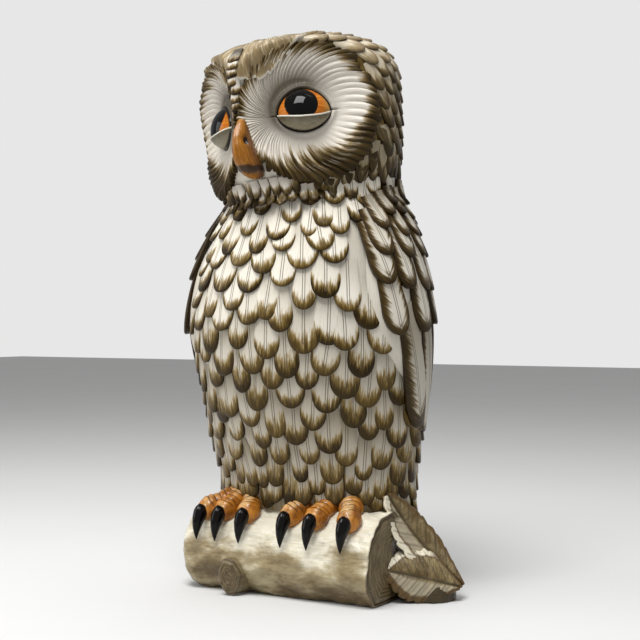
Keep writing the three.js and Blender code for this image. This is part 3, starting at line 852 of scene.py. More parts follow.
def wing_back_edge(label, side):
    """Coverts that close the gap between the wing's rows and the feathers of the back."""
    sheet = Patchwork()
    for z, width, length in EDGE_COVERTS:
        spot = side_hit(np.array([0, mix(*wing_span(z), 0.985), z]), side, 0)
        feather(sheet, wing_surface, spot, (0, -0.12, -1.0), width, length, lift=2.0, sink=-2.2, band=9.0,
                **COVERT_FORM)
    sheet.build(f"{label}_wing_back_edge", COVERT, "plumage_glaze")


# Rows of small feathers on the tail and the rump above it: height of the tips, number and width.
TAIL_ROWS = ((118, 5, 23), (143, 6, 21), (166, 5, 21), (188, 6, 18), (208, 5, 19), (228, 6, 19))


def tail():
    form, fan = Patchwork(), Patchwork()
    z, turn = np.meshgrid(np.linspace(0.5, tail_top, 60), full_turn(120), indexing="ij")
    half = tail_half_width(z) - 1
    x = half * np.sign(np.cos(turn)) * np.abs(np.cos(turn)) ** 0.6
    depth = np.sign(np.sin(turn)) * np.abs(np.sin(turn)) ** 0.6 * TAIL_THICKNESS / 2 * 0.94
    middle = TAIL_SET_BACK + TAIL_LEAN * z / tail_top - TAIL_HOLLOW * (x / half) ** 2
    sunk = 10 * smooth(z, tail_top - 30, tail_top)
    rim = smooth(np.abs(x / half), 0.8, 1.0)
    # Painted shade: grey where the bare tail shows between its feathers.
    form.add(xyz(x, middle + depth - sunk, z), xyz(x, z, 0), xyz(1.1 * rim - 1, 9, 20), (0.7, 0.5, 0),
             around=True, caps=(True, True))
    form.build("tail_form", PLUMAGE, "plumage_glaze", "tail")
    for k in (4, -4, 3, -3, 2, -2, 1, -1, 0):
        feather(fan, tail_surface, (k * 13.8, 0, 3 + 1.2 * abs(k)), (k * 0.026, 0, -1.0), 25, 150,
                lift=1.6 - 0.4 * abs(k), sink=-2.9, camber=1.4, band=8.0, style="covert", point=0.5,
                rows=24, cols=13)
    for z, count, width in TAIL_ROWS:
        row_width = tail_half_width(z) * mix(1.95, 2.4, float(smooth(z, 190, 228)))
        for k in range(count):
            x = (k - (count - 1) / 2) * row_width / count
            feather(fan, tail_surface, (x, 0, z + rng.normal(0, 2)), (x * 0.003, 0, -1.0), width, 46,
                    lift=2.2, sink=-1.6, band=16.0, point=0.7)
    fan.build("tail_feathers", COVERT, "plumage_glaze")


# ---- Head ----
DISC_MIDDLE = np.array([5.0, -4.0])  # of the feathered disc, outwards and up from the axis of its eye
DISC_REACH = 66.0
STRANDS = 74
STRAND_POINTS = 9  # across each strand
# How far the brown runs in from the disc's edge, by the angle round it: 0 is outwards and 90 is up.
DISC_BROWN = np.array([
    [-180, 10], [-150, 7], [-120, 10], [-95, 17], [-70, 20], [-45, 19], [-20, 12], [0, 9],
    [35, 8], [55, 13], [80, 16], [110, 16], [140, 15], [180, 10],
], float)
EYE_MIDDLE = np.array([0.5, -4.7])  # on the line between the corners of the eye
EYE_HALF, EYE_UPPER, EYE_LOWER, EYE_CORNER = 25.7, 23.6, 17.7, 1.8
EYE_SLANT = math.radians(3)
PUPIL = np.array([-2.2, 2.5])
GLASS_SHARE = 0.914  # of the ball's radius, that shows in the eye's opening
GLASS_SUNK = 11.0  # how far the ball's centre lies behind the disc
LID_PROUD = 1.9


def on_disc(side, u, v, o):
    """Head coordinates of a point outwards, up and out from where the disc's axis leaves the head's."""
    outer, up, out = disc_axes(side)
    return u[..., None] * outer + v[..., None] * up + o[..., None] * out + np.array([0, 0, DISC_HEIGHT])


def disc_surface(side, u, v):
    s = strike(head_field, on_disc(side, u, v, u * 0), disc_axes(side)[2], 150.0)
    return s, slope_of(head_field, s)


def eye_reach(angle):
    """How far the eye's opening reaches from its middle at an angle."""
    high = np.where(np.sin(angle) > 0, EYE_UPPER, EYE_LOWER)
    part = (np.abs(np.cos(angle)) / EYE_HALF) ** EYE_CORNER + (np.abs(np.sin(angle)) / high) ** EYE_CORNER
    return part ** (-1 / EYE_CORNER)


def head_form():
    """The bare head under the feathers, painted brown except at the chin."""
    sheet = Patchwork()
    rise, turn = np.meshgrid(np.linspace(-1.2, 1.55, 110), full_turn(240), indexing="ij")
    ray = xyz(np.cos(rise) * np.cos(turn), np.cos(rise) * np.sin(turn), np.sin(rise))
    s = strike(head_field, HEAD_CENTRE, ray)
    s[..., 2] = np.maximum(s[..., 2], 0.3)
    points = from_head(s - slope_of(head_field, s) * SHELL_DROP * smooth(s[..., 2:], 0.3, 3))
    brown = mix(-1.0, 0.55, smooth(s[..., 1], -90, -72))
    # Painted shade: a little grey where the bare head shows between its feathers.
    sheet.add(points, xyz(turn * 100, rise * 100, 0), xyz(brown, 9, 20), (0.35, 0.5, 0), around=True,
              caps=(True, True))
    sheet.build("head_form", PLUMAGE, "plumage_glaze", "head_shell")


def facial_disc(label, side):
    """Long curved strands that spread from the eye to a ragged raised rim."""
    strand = np.repeat(np.arange(STRANDS), STRAND_POINTS)
    f = np.tile(np.arange(STRAND_POINTS) / STRAND_POINTS, STRANDS)
    finish = (strand + f) / STRANDS * 2 * np.pi
    finish = finish + 0.28 * np.sin(finish)
    start = finish + math.radians(40) * np.sin(finish)
    degrees = np.degrees(np.arctan2(np.sin(finish), np.cos(finish)))
    round_top = 4 * f * (1 - f)
    longer = rng.normal(0, 1.2, STRANDS)[strand]
    bolder = rng.uniform(0.6, 1.35, STRANDS)[strand]
    # Out along each strand, from the eye's edge to the disc's.
    rho = np.concatenate([np.linspace(0, 0.12, 10), np.linspace(0.135, 0.98, 46), [0.993, 1.0]])[:, None]
    inner = eye_reach(start)
    outer = DISC_REACH + longer + 1.7 * round_top
    radius = mix(inner, outer, rho)
    droop = math.radians(9) * np.maximum(np.cos(start - math.radians(40)), 0)
    angle = mix(start + EYE_SLANT, finish, rho**1.4) - droop * rho**2
    middle = mix(EYE_MIDDLE, DISC_MIDDLE, rho[..., None])
    u, v = middle[..., 0] + radius * np.cos(angle), middle[..., 1] + radius * np.sin(angle)
    s, normal = disc_surface(side, u, v)
    # The relief: a fold round the eye, a hollow beside the beak, ridged strands and a rim that stands up.
    run = rho * (outer - inner)
    low_outer = 0.5 + 0.5 * np.cos(finish + math.radians(50))
    high_inner = 0.5 + 0.5 * np.cos(start - math.radians(125))
    fold = 2.3 * swell(run, 2.6, 2.3)
    hollow = -2.0 * high_inner * swell(run, 13, 9)
    rise = 3.6 * smooth(rho, 0.62, 0.97) * (0.55 + 0.45 * low_outer)
    ripple = bolder * (round_top - 0.6) * mix(0.08, 2.9, smooth(rho, 0.12, 0.9))
    corner = np.minimum(np.abs(np.sin(start)), 1) * (inner + run)
    crease = swell(corner, 0, 0.9) * (1 - smooth(run, 3, 10))
    height = -1.2 + fold + hollow + rise + ripple - 1.5 * crease
    height = mix(rise - 2.6, height, np.sqrt(np.clip((1 - rho) / 0.03, 0, 1)))
    points = from_head(s + normal * height[..., None])
    # The paint: brown in from the rim, dark lines between strands and round the eye, grey beside the beak.
    # That grey is painted shade, in the hollow above and beside the eye and a little round its edge.
    band = np.interp(degrees, DISC_BROWN[:, 0], DISC_BROWN[:, 1]) * (0.75 + 0.5 * bolder / 1.35)
    from_rim = (1 - rho) * (outer - inner)
    brown = 0.70 + 0.95 * low_outer**2 - from_rim / band
    outline = 1 - smooth(run, 0.3, 1.3)
    groove = 0.15 + 1.5 * np.minimum(f, 1 - f) * radius * 2 * np.pi / STRANDS
    groove = groove + 1.2 * (1 - smooth(rho, 0.1, 0.5))
    line = np.minimum(np.minimum(from_rim * 0.8, groove), 1.2 - 2.6 * np.maximum(outline, 0.6 * crease))
    tone = xyz(np.maximum(np.maximum(brown, 3 * outline - 1.6), 2.4 * crease - 1.6), line, 20)
    # Painted shade: grey in the hollow at the eye's upper inner side, and a little all round the eye.
    grey = 0.15 + 2.6 * high_inner**1.5 * swell(run, 5, 15) + 0.4 * swell(run, 4, 5)
    shade_and_tint = xyz(grey, bolder - 0.5, 0)
    strokes = xyz(finish * 66, run, 13 * side)
    back = from_head(s[-1] - normal[-1] * 4.6)
    well = from_head(s[0] - normal[0] * 5)
    sheet = Patchwork()
    for part, rows in ((points, slice(None)), (np.stack([points[-1], back]), slice(-2, None)),
                       (np.stack([well, points[0]]), slice(2))):
        sheet.add(part, strokes[rows], tone[rows], shade_and_tint[rows], around=True, flip=side > 0)
    sheet.build(f"{label}_facial_disc", FACE, "plumage_glaze")


def eye_dome(u, v):
    """How far out the glass is at a place on the disc: a shallow dome over the eye's opening."""
    du, dv = u - EYE_MIDDLE[0], v - EYE_MIDDLE[1]
    q = np.hypot(du, dv) / eye_reach(np.arctan2(dv, du) - EYE_SLANT)
    across = EYE_RADIUS * GLASS_SHARE * q
    floor = DISH_FLOOR + (du**2 + dv**2) / (2 * DISH_RADIUS)
    return floor + np.sqrt(np.maximum(EYE_RADIUS**2 - across**2, 1)) - GLASS_SUNK


def eyes():
    for label, side in SIDES:
        q = np.concatenate([np.linspace(0.02, 0.9, 30), [0.94, 0.97, 1.0, 1.03]])[:, None]
        turn = full_turn(96)
        u = EYE_MIDDLE[0] + q * eye_reach(turn) * np.cos(turn + EYE_SLANT)
        v = EYE_MIDDLE[1] + q * eye_reach(turn) * np.sin(turn + EYE_SLANT)
        o = eye_dome(u, v)
        sheet = Patchwork()
        sheet.add(from_head(on_disc(side, u, v, o)), xyz(u - PUPIL[0], v - PUPIL[1], 0), xyz(q, 0, 0),
                  around=True, caps=(True, False), flip=side > 0)
        sheet.build(f"{label}_eye_glass", EYE, "eye_glass", f"{label}_eye")
        lower_lid(label, side)


def lower_lid(label, side):
    """A lid over the lower part of the eye, with a rolled upper edge."""
    x = np.sin(np.radians(np.linspace(-88, 88, 49)))
    # From the lid's foot up to its edge, then over the edge in four steps.
    share = np.concatenate([np.linspace(0, 1, 22), np.ones(4)])[:, None]
    proud = np.concatenate([[0.3, 1.2], np.full(20, LID_PROUD), [1.5, 0.8, 0.0, -1.2]])[:, None]
    lip = np.concatenate([np.zeros(22), [0.5, 0.75, 0.6, 0.2]])[:, None]
    bottom = -EYE_LOWER * (1 - np.abs(x) ** EYE_CORNER) ** (1 / EYE_CORNER) * 1.01
    top = np.maximum(0.2 - 5.6 * (1 - x**2) * (1 + 0.15 * x) - 1.8 * smooth(x, 0, 1), bottom + 0.1)
    du, dv = np.broadcast_arrays(EYE_HALF * x * 1.005, mix(bottom, top, share) + lip)
    u = EYE_MIDDLE[0] + du * math.cos(EYE_SLANT) - dv * math.sin(EYE_SLANT)
    v = EYE_MIDDLE[1] + du * math.sin(EYE_SLANT) + dv * math.cos(EYE_SLANT)
    out = eye_dome(u, v) + proud * smooth(1.03 - np.abs(x), 0.0, 0.12)
    sheet = Patchwork()
    sheet.add(from_head(on_disc(side, u, v, out)), xyz(du, dv, 0),
              xyz(top - mix(bottom, top, share), dv - bottom, 0), flip=side > 0)
    sheet.build(f"{label}_lid_glaze", LID, "lid_glaze", f"{label}_lower_lid")


BEAK_AT = np.array([4.5, -98.0, 77.0])
BEAK_LENGTH = 60.0
# [distance from its top, half width]
BEAK_WIDTHS = np.array([
    [0, 0.5], [1, 2.3], [4, 3.4], [10, 5.2], [20, 7.6], [30, 9.5],
    [38, 10.8], [46, 11.3], [53, 10.3], [57, 7.8], [59.2, 3.8], [60, 0.5],
], float)
NOSTRIL_DEPTH = 3.5


def beak():
    """A hooked beak with a ridge down its front and a nostril on each side of it."""
    t = np.concatenate([[0], np.sin(np.linspace(0.02, np.pi / 2, 90)) ** 1.3])[:, None]
    turn = full_turn(72)
    from_ridge = turn - 1.5 * np.pi
    half = np.interp(t * BEAK_LENGTH, BEAK_WIDTHS[:, 0], BEAK_WIDTHS[:, 1])
    front = np.maximum(-np.sin(turn), 0)
    keel = 1 - 0.20 * front * (1 - front) * 4 * smooth(t, 0.05, 0.5)
    ridge = 1.3 * swell(from_ridge, 0, 0.16) * smooth(t, 0.02, 0.25) * (1 - smooth(t, 0.8, 1))
    pit = sum(np.exp(-(((from_ridge - way) / 0.30) ** 2 + ((t - 0.42) / 0.075) ** 2))
              for way in (1.38, -1.38))
    x = half * np.cos(turn) * keel - NOSTRIL_DEPTH * pit * np.cos(turn) + 3 * (t - 0.5)
    hook = 8 * t**2 - 7 * np.sin(np.pi * t)
    y = hook + half * 1.5 * np.sin(turn) - ridge - NOSTRIL_DEPTH * pit * np.sin(turn)
    h = xyz(x, y, -t * BEAK_LENGTH) + BEAK_AT
    h = h + 0.25 * noise(h, 7.0, 4)[..., None] * xyz(np.cos(turn), np.sin(turn), 0)
    sheet = Patchwork()
    sheet.add(from_head(h), xyz(turn * 12, t * 60, 0), xyz(t, pit, np.abs(from_ridge)), around=True,
              caps=(True, True), flip=True)
    sheet.build("beak_horn", BEAK, "beak_glaze", "beak")


# How far the crown's cap reaches down from its pole, in degrees, by the angle from straight ahead.
CAP_REACH = np.array([
    [0, 53], [8, 52], [14, 51], [22, 48.5], [30, 44.5],
    [46, 37.5], [65, 36.5], [90, 34], [130, 30], [180, 28],
], float)
CAP_RADIUS = 110.0  # of the cap, for turning angles into lengths
RIDGE_SCALES = 7


def brow_and_ridge():
    """The crown's cap, with a torn white edge over the discs, and the scales from there down to the beak."""
    pole = unit(np.array([0, -34.0, 85.0]))
    ahead = unit(np.cross(SIDEWAYS, pole))
    turn = full_turn(420) - np.pi
    share = np.concatenate([np.linspace(0.03, 0.9, 34), [0.94, 0.965, 0.98, 0.99, 0.996, 1.0]])[:, None]
    degrees = np.degrees(turn)
    ragged = 1.5 * noise(xyz(degrees, 0, 0), 5.0, 7) + 1.1 * noise(xyz(degrees, 0, 0), 1.8, 8)
    reach = np.interp(np.abs(degrees), CAP_REACH[:, 0], CAP_REACH[:, 1]) + ragged
    psi = np.radians(share * reach)
    swing = np.cos(turn)[:, None] * ahead + np.sin(turn)[:, None] * SIDEWAYS
    ray = np.cos(psi)[..., None] * pole + np.sin(psi)[..., None] * swing
    s = strike(head_field, HEAD_CENTRE, ray)
    strokes = xyz(turn * 62, psi * CAP_RADIUS, 3)
    ripple = 0.8 * noise(strokes * (1, 0.12, 1), 3.2, 9) + 0.9 * noise(strokes * (1, 0.25, 1), 9.0, 10)
    height = -1.0 + ripple * smooth(share, 0.1, 0.5) + 2.0 * smooth(share, 0.72, 0.96)
    height = mix(-4.2, height, np.sqrt(np.clip((1 - share) / 0.02, 0, 1)))
    edge = (1 - share) * np.radians(reach) * CAP_RADIUS
    brown = 0.50 + 0.30 * layered(s, 34.0, 12, 2) + 0.25 * smooth(edge, 3, 9) * (1 - smooth(edge, 9, 24))
    pale = (1 - smooth(edge, 1.6, 3.4)) * (1 - smooth(np.abs(degrees), 44, 66))
    lines = 9.0 * np.abs(np.mod(turn * 7 + 0.5 * noise(strokes, 30.0, 13), 1) - 0.5)
    sheet = Patchwork()
    sheet.add(from_head(s + slope_of(head_field, s) * height[..., None]), strokes, xyz(brown, 3, lines),
              xyz(0.8, 0.5, pale), around=True, caps=(True, False))
    sheet.build("crown_cap", CROWN, "plumage_glaze")
    scales = Patchwork()
    for k in range(RIDGE_SCALES):
        at = from_head(np.array([rng.normal(0, 0.7), -110.0, 130 - 8.2 * k]))
        down = HEAD_AXES @ np.array([rng.normal(0, 0.06), 0, -1.0])
        width = mix(13.0, 8.0, k / (RIDGE_SCALES - 1)) * rng.normal(1, 0.08)
        feather(scales, head_surface, at, down, width, 20, lift=2.2, sink=0.0, camber=1.2, band=6.5,
                point=0.35, sharp=0.25, cols=9, rows=12, grey=(0.5, 1.7)[k == 0])
    scales.build("ridge_scales", FACE, "plumage_glaze")


def in_disc(h, grow=0.0):
    """Whether a point on the head lies within a facial disc."""
    for side in (1, -1):
        across, up, out = (h - np.array([0, 0, DISC_HEIGHT])) @ np.array(disc_axes(side)).T
        if out > 40 and math.hypot(across - DISC_MIDDLE[0], up - DISC_MIDDLE[1]) < DISC_REACH + grow:
            return True
    return False


NECK_RADIUS, NECK_BACK = 90.0, 9.0  # of the ring that the neck's feathers start from, and its centre in Y
CROWN_RADIUS, CROWN_PITCH = 112, 20  # of the head where its rows run, and from one feather to the next in a row
CROWN_FEATHER = (21, 33, 22)  # width, length, and length where it hangs over a disc
# Rows of the ruff: height of the tips, number and length.
RUFF_ROWS = ((16, 34, 30), (5, 34, 28), (-7, 36, 27))


def collar_surface(p):
    """Moves points straight out from the head's axis onto its side, and on down past its seat like a cape."""
    own = to_head(p)
    level = np.maximum(own[..., 2], 3.0)
    out = unit(xyz(own[..., 0], own[..., 1] - NECK_BACK, 0.0))
    s = strike(head_field, xyz(0.0, NECK_BACK, level), out, 150.0)
    normal = unit(slope_of(head_field, s) * np.array([1, 1, 0.3]))
    below = (level - own[..., 2])[..., None]
    s = s + out * 0.28 * below - np.array([0, 0, 1.0]) * below
    return from_head(s), normal @ HEAD_AXES.T


def on_neck(turn, z):
    """The place on the neck at an angle from straight ahead and a height in the head's frame."""
    ring = np.array([NECK_RADIUS * math.sin(turn), NECK_BACK - NECK_RADIUS * math.cos(turn), z])
    return collar_surface(from_head(ring))[0]


def head_feathers():
    """Rows that spread back and down from the brow over the crown and the nape."""
    brow = unit(np.array([0, -94.0, 72.0]))
    ahead = unit(np.cross(SIDEWAYS, brow))
    crown, nape = Patchwork(), Patchwork()
    width, *lengths = CROWN_FEATHER
    for row, psi in enumerate(np.radians(np.arange(44, 176, 9.2))):
        count = max(3, int(round(2 * math.pi * CROWN_RADIUS * math.sin(psi) / CROWN_PITCH)))
        for k in range(count):
            turn = 2 * math.pi * (k + 0.5 * (row % 2) + rng.normal(0, 0.06)) / count
            swing = math.cos(turn) * ahead + math.sin(turn) * SIDEWAYS
            h = strike(head_field, HEAD_CENTRE, math.cos(psi) * brow + math.sin(psi) * swing)
            if h[2] < 16 or in_disc(h, 5.0) or (h[1] < -70 and abs(h[0]) < 62):
                continue
            droop = np.array([0, 0.0, -0.9]) * float(smooth(140 - h[2], 0, 50))
            flow = unit(h - HEAD_CENTRE - 100 * brow) + droop
            covers_disc = in_disc(h - 26 * unit(flow))
            # Painted shade: feathers tucked under a disc's rim carry more brown.
            feather(crown if h[2] > 110 else nape, head_surface, from_head(h), HEAD_AXES @ flow,
                    width * rng.normal(1, 0.1), lengths[covers_disc], lift=rng.uniform(0.2, 1.1),
                    sink=(-3.0, -4.6)[covers_disc], band=rng.uniform(13, 24) * (1, 1.9)[covers_disc],
                    point=0.8, sharp=0.25, grey=0.3)
    crown.build("crown_feathers", CROWN, "plumage_glaze")
    nape.build("nape_feathers", NAPE, "plumage_glaze")


def ruff():
    """Pointed feathers round the back and sides of the neck."""
    sheet = Patchwork()
    for row, (z, count, length) in enumerate(RUFF_ROWS):
        for k in range(count):
            turn = 2 * math.pi * (k + 0.5 * (row % 2)) / count + rng.normal(0, 0.02)
            at = on_neck(turn, z + rng.normal(0, 1.5))
            if in_disc(to_head(at), 2.0) or abs(math.remainder(turn, 2 * math.pi)) < 0.60:
                continue
            covers_disc = in_disc(to_head(at) + np.array([0, 0, 0.7 * length]))
            slant = HEAD_AXES @ np.array([0.16 * math.sin(turn), -0.16 * math.cos(turn), -1.0])
            # Painted shade: feathers tucked under a disc's rim carry more brown.
            feather(sheet, collar_surface, at, slant, rng.uniform(15, 20), (length, 18)[covers_disc],
                    lift=rng.uniform(1.2, 2.6), sink=(-2.0, -5.0)[covers_disc],
                    band=rng.uniform(10, 18) * (1, 1.9)[covers_disc], point=1.0, sharp=0.85, grey=0.3)
    sheet.build("ruff_feathers", RUFF, "plumage_glaze")


def chin():
    """Small round scales under the beak, and two beads of glaze at their edge."""
    sheet = Patchwork()
    for row, (z, spread) in enumerate(((1.0, 0.56), (-7.0, 0.64))):
        for k in range(-7, 8):
            turn = (k + 0.5 * (row % 2)) * 9.5 / 84 + rng.normal(0, 0.014)
            at = on_neck(turn, z)
            if abs(turn) > spread or in_disc(to_head(at), -2.0):
                continue
            slant = HEAD_AXES @ np.array([0.3 * math.sin(turn), 0, -1.0])
            feather(sheet, collar_surface, at, slant, 10.5 * rng.normal(1, 0.12), 16, lift=3.2, sink=-1.0,
                    camber=2.8, band=rng.uniform(5, 20), point=0.7, rows=12, cols=9)
    for turn, z in ((0.27, -9.0), (0.39, -7.0)):
        feather(sheet, collar_surface, on_neck(turn, z), HEAD_AXES @ np.array([0, 0, -1.0]), 12, 13, lift=3.4,
                sink=-1.0, camber=3.4, band=6.0, point=0.6, rows=24, cols=17)
    sheet.build("chin_drops", FACE, "plumage_glaze")


# ---- Feet ----
LOG_RADIUS, LOG_HEIGHT, LOG_Y = 47.0, 38.0, -1.0
# Each toe's place in X where it starts, near the top of the log, and where it ends.
TOES = {"right_outer": (-64, -84), "right_middle": (-58, -62), "right_inner": (-42, -34),
        "left_inner": (24, 14), "left_middle": (46, 43), "left_outer": (68, 80)}
TOE_START, TOE_END = 4.0, 32.0  # how far forward of the log's top that is, along its bark
TOE_HALF_WIDTH, TOE_HALF_HEIGHT = 11.2, 11.8
TALON_LENGTH, TALON_HALF_WIDTH = 28.0, 7.2


def round_log(across, arc, height):
    """A place on the log: across it in X, an arc forward from its top, and a height above its bark."""
    angle = arc / LOG_RADIUS
    radius = LOG_RADIUS + height
    return xyz(across, LOG_Y - radius * np.sin(angle), LOG_HEIGHT + radius * np.cos(angle))


def toes():
    for name, (root, tip) in TOES.items():
        toe(name, root, tip)
        talon(name, tip)


def toe(name, root, tip):
    """A toe with rounded ends, knuckles and creases, from its root over the log to its talon."""
    turn = full_turn(56)
    aim = math.atan2(tip - root, TOE_END - TOE_START)
    length = math.hypot(tip - root, TOE_END - TOE_START)
    t = np.concatenate([np.sin(np.linspace(0.05, np.pi / 2, 8)) * 0.12, np.linspace(0.14, 0.86, 90),
                        0.86 + 0.14 * np.sin(np.linspace(0.1, np.pi / 2, 20))])[:, None]
    along = mix(-11.5, length + 10.0, t)
    dome = round_off((0.12 - t) / 0.12, least=0.02) * round_off((t - 0.78) / 0.22, 2.4, 0.02)
    knuckles = np.cos(2 * np.pi * (t * 2.6 + 0.1 * rng.random()))
    top = np.maximum(np.sin(turn), 0)
    wrinkle = np.abs(np.sin(np.pi * (t * 11 + 0.12 * np.cos(turn * 2) + 0.3 * rng.random())))
    furrow = (1 - wrinkle) ** 2 * 1.1 * top**0.5 * smooth(t, 0.1, 0.2) * (1 - smooth(t, 0.72, 0.86))
    x = (TOE_HALF_WIDTH * dome * (1 + 0.07 * knuckles) - furrow) * np.cos(turn)
    z = (TOE_HALF_HEIGHT * dome * (1 + 0.10 * knuckles) - furrow) * np.sin(turn)
    cuticle = swell(t, 0.90, 0.04) * 0.9 * top
    z = np.where(z < 0, z * 0.7, z) + cuticle
    across = root + along * math.sin(aim) + x * math.cos(aim)
    arc = TOE_START + along * math.cos(aim) - x * math.sin(aim)
    points = round_log(across, arc, z + 4.0)
    points = points + 0.4 * noise(points, 5.0, 21)[..., None] * np.array([0, -0.6, 0.8])
    sheet = Patchwork()
    sheet.add(points, xyz(turn * 10, along, 0), xyz(furrow / 1.1, 0, top), around=True, caps=(True, True))
    sheet.build(f"{name}_toe_glaze", TOE, "toe_glaze", f"{name}_toe")


def talon(name, tip):
    turn = full_turn(40)
    t = np.concatenate([[0.0, 0.015, 0.04], np.linspace(0.08, 0.92, 30), [0.955, 0.98, 0.995]])[:, None]
    size = TALON_HALF_WIDTH * np.interp(t, [0, 0.015, 0.04, 0.12, 0.22, 0.42, 0.66, 0.86, 1.0],
                                        [0.45, 0.70, 0.84, 0.97, 1, 0.86, 0.58, 0.28, 0.03])
    x = size * 0.92 * np.cos(turn)
    z = size * 1.12 * np.sin(turn) + 11 - 6 * t**2 + 0.5 * np.sin(np.pi * t)
    keel = 0.7 * swell(turn, np.pi / 2, 0.3) * (1 - t) * size / 6.6
    sheet = Patchwork()
    sheet.add(round_log(tip + x, TOE_END + 2 + TALON_LENGTH * t, z + keel), xyz(turn * 6, t * 31, 0),
              around=True, caps=(True, True))
    sheet.build(f"{name}_talon_glaze", TALON, "talon_glaze", f"{name}_talon")


# ---- Log and leaves ----
LOG_ENDS = (-114.0, 110.0)
LOG_ROUNDING = 24.0
STUB_X, STUB_Z, STUB_TURN = -38.0, 20.0, 3.78  # where the stub leaves the log, and that place's angle round it
STUB_HALF_WIDTH, STUB_HALF_HEIGHT = 11.0, 18.5
STUB_REACH = (-24.0, -55.0)  # in Y, from inside the log to its sawn face
MOUND_X, MOUND_Y, MOUND_RADIUS, MOUND_HEIGHT = 130, 36, 27, 32


def bark_relief(x, turn):
    """How far the bark stands out at a place along the log and round it."""
    place = xyz(x * 0.6, LOG_RADIUS * np.cos(turn), LOG_RADIUS * np.sin(turn))
    swirl = place + 5 * xyz(noise(place, 22, 30), noise(place, 22, 31), noise(place, 22, 32))
    ridges = 2.6 * noise(swirl, 15.0, 33) + 1.4 * noise(swirl, 6.5, 34) + 0.5 * noise(swirl, 2.8, 35)
    far = np.hypot(x - STUB_X, (turn - STUB_TURN) * LOG_RADIUS)
    return ridges + 0.9 * np.cos(far / 3.2) * np.exp(-far / 22)


def log():
    sheet = Patchwork()
    turn = np.linspace(-0.5 * np.pi, 1.5 * np.pi, 300, endpoint=False)
    wobble = noise(xyz(np.cos(turn) * 30, np.sin(turn) * 30, 0), 14.0, 40)
    rim = log_side(sheet, turn, wobble)
    log_end(sheet, turn, wobble, rim)
    sheet.build("log_bark", BARK, "bark_glaze", "perch_log")
    stub()


def log_side(sheet, turn, wobble):
    """The bark, from the log's rounded far end to the rim of its sawn one."""
    far, near = LOG_ENDS
    x = np.concatenate([far + LOG_ROUNDING * (1 - np.cos(np.linspace(0.12, np.pi / 2, 26))),
                        np.linspace(far + LOG_ROUNDING + 1.5, near - 0.8, 150)])[:, None]
    lip = 2.2 * swell(x, near, 3.5) * (0.4 + 0.6 * wobble)
    close = round_off((far + LOG_ROUNDING - x) / LOG_ROUNDING)
    radius = (LOG_RADIUS - LOG_ROUNDING * (1 - close)) + bark_relief(x, turn) + lip
    end_x = x - smooth(x, 80, near) * (2.0 + 3.0 * wobble)
    points = xyz(end_x, LOG_Y + radius * np.cos(turn), LOG_HEIGHT + radius * np.sin(turn))
    points[..., 2] = np.maximum(points[..., 2], 0.3 + 0.2 * noise(points, 9, 3))
    sheet.add(points, xyz(x, turn * LOG_RADIUS, 0), xyz(np.exp(-((near - x) / 2.5)), 0, 0), around=True,
              caps=(True, False), flip=True)
    return points[-1]


def log_end(sheet, turn, wobble, rim):
    """The sawn end grain, with faint rings, a gully inside the bark and a split."""
    rings = np.concatenate([[0.995, 0.985, 0.965, 0.945], np.linspace(0.93, 0.03, 44)])[:, None]
    centre = np.array([0, LOG_Y + 3, LOG_HEIGHT - 2])
    face = centre + (rim - centre) * rings[..., None]
    level = LOG_ENDS[1] - 2.5 + 1.6 * noise(face * (0, 1, 0.5), 15.0, 41)
    grain = 0.35 * np.sin(rings * 70 + 3 * noise(face * (0, 1, 1), 18.0, 42))
    gully = -3.4 * swell(rings, 0.93, 0.028) * (0.6 + 0.4 * wobble)
    split = -1.6 * np.exp(-((math.pi * rings * 40 * (turn - 0.9) / 20) ** 2)) * smooth(rings, 0.1, 0.3)
    face[..., 0] = mix(rim[..., 0], level + grain, smooth(1 - rings, 0.0, 0.05)) + gully + split
    dark = swell(rings, 0.93, 0.03) + np.clip(-split, 0, 1) * 0.7
    strokes = xyz(rings * 47, turn * 30, 5)
    rim_tone = np.broadcast_to((1.0, 0, 1), (1, *rim.shape))
    sheet.add(np.concatenate([rim[None], face]), np.concatenate([strokes[:1], strokes]),
              np.concatenate([rim_tone, xyz(dark, 0, 1)]), around=True, caps=(False, True), flip=True)


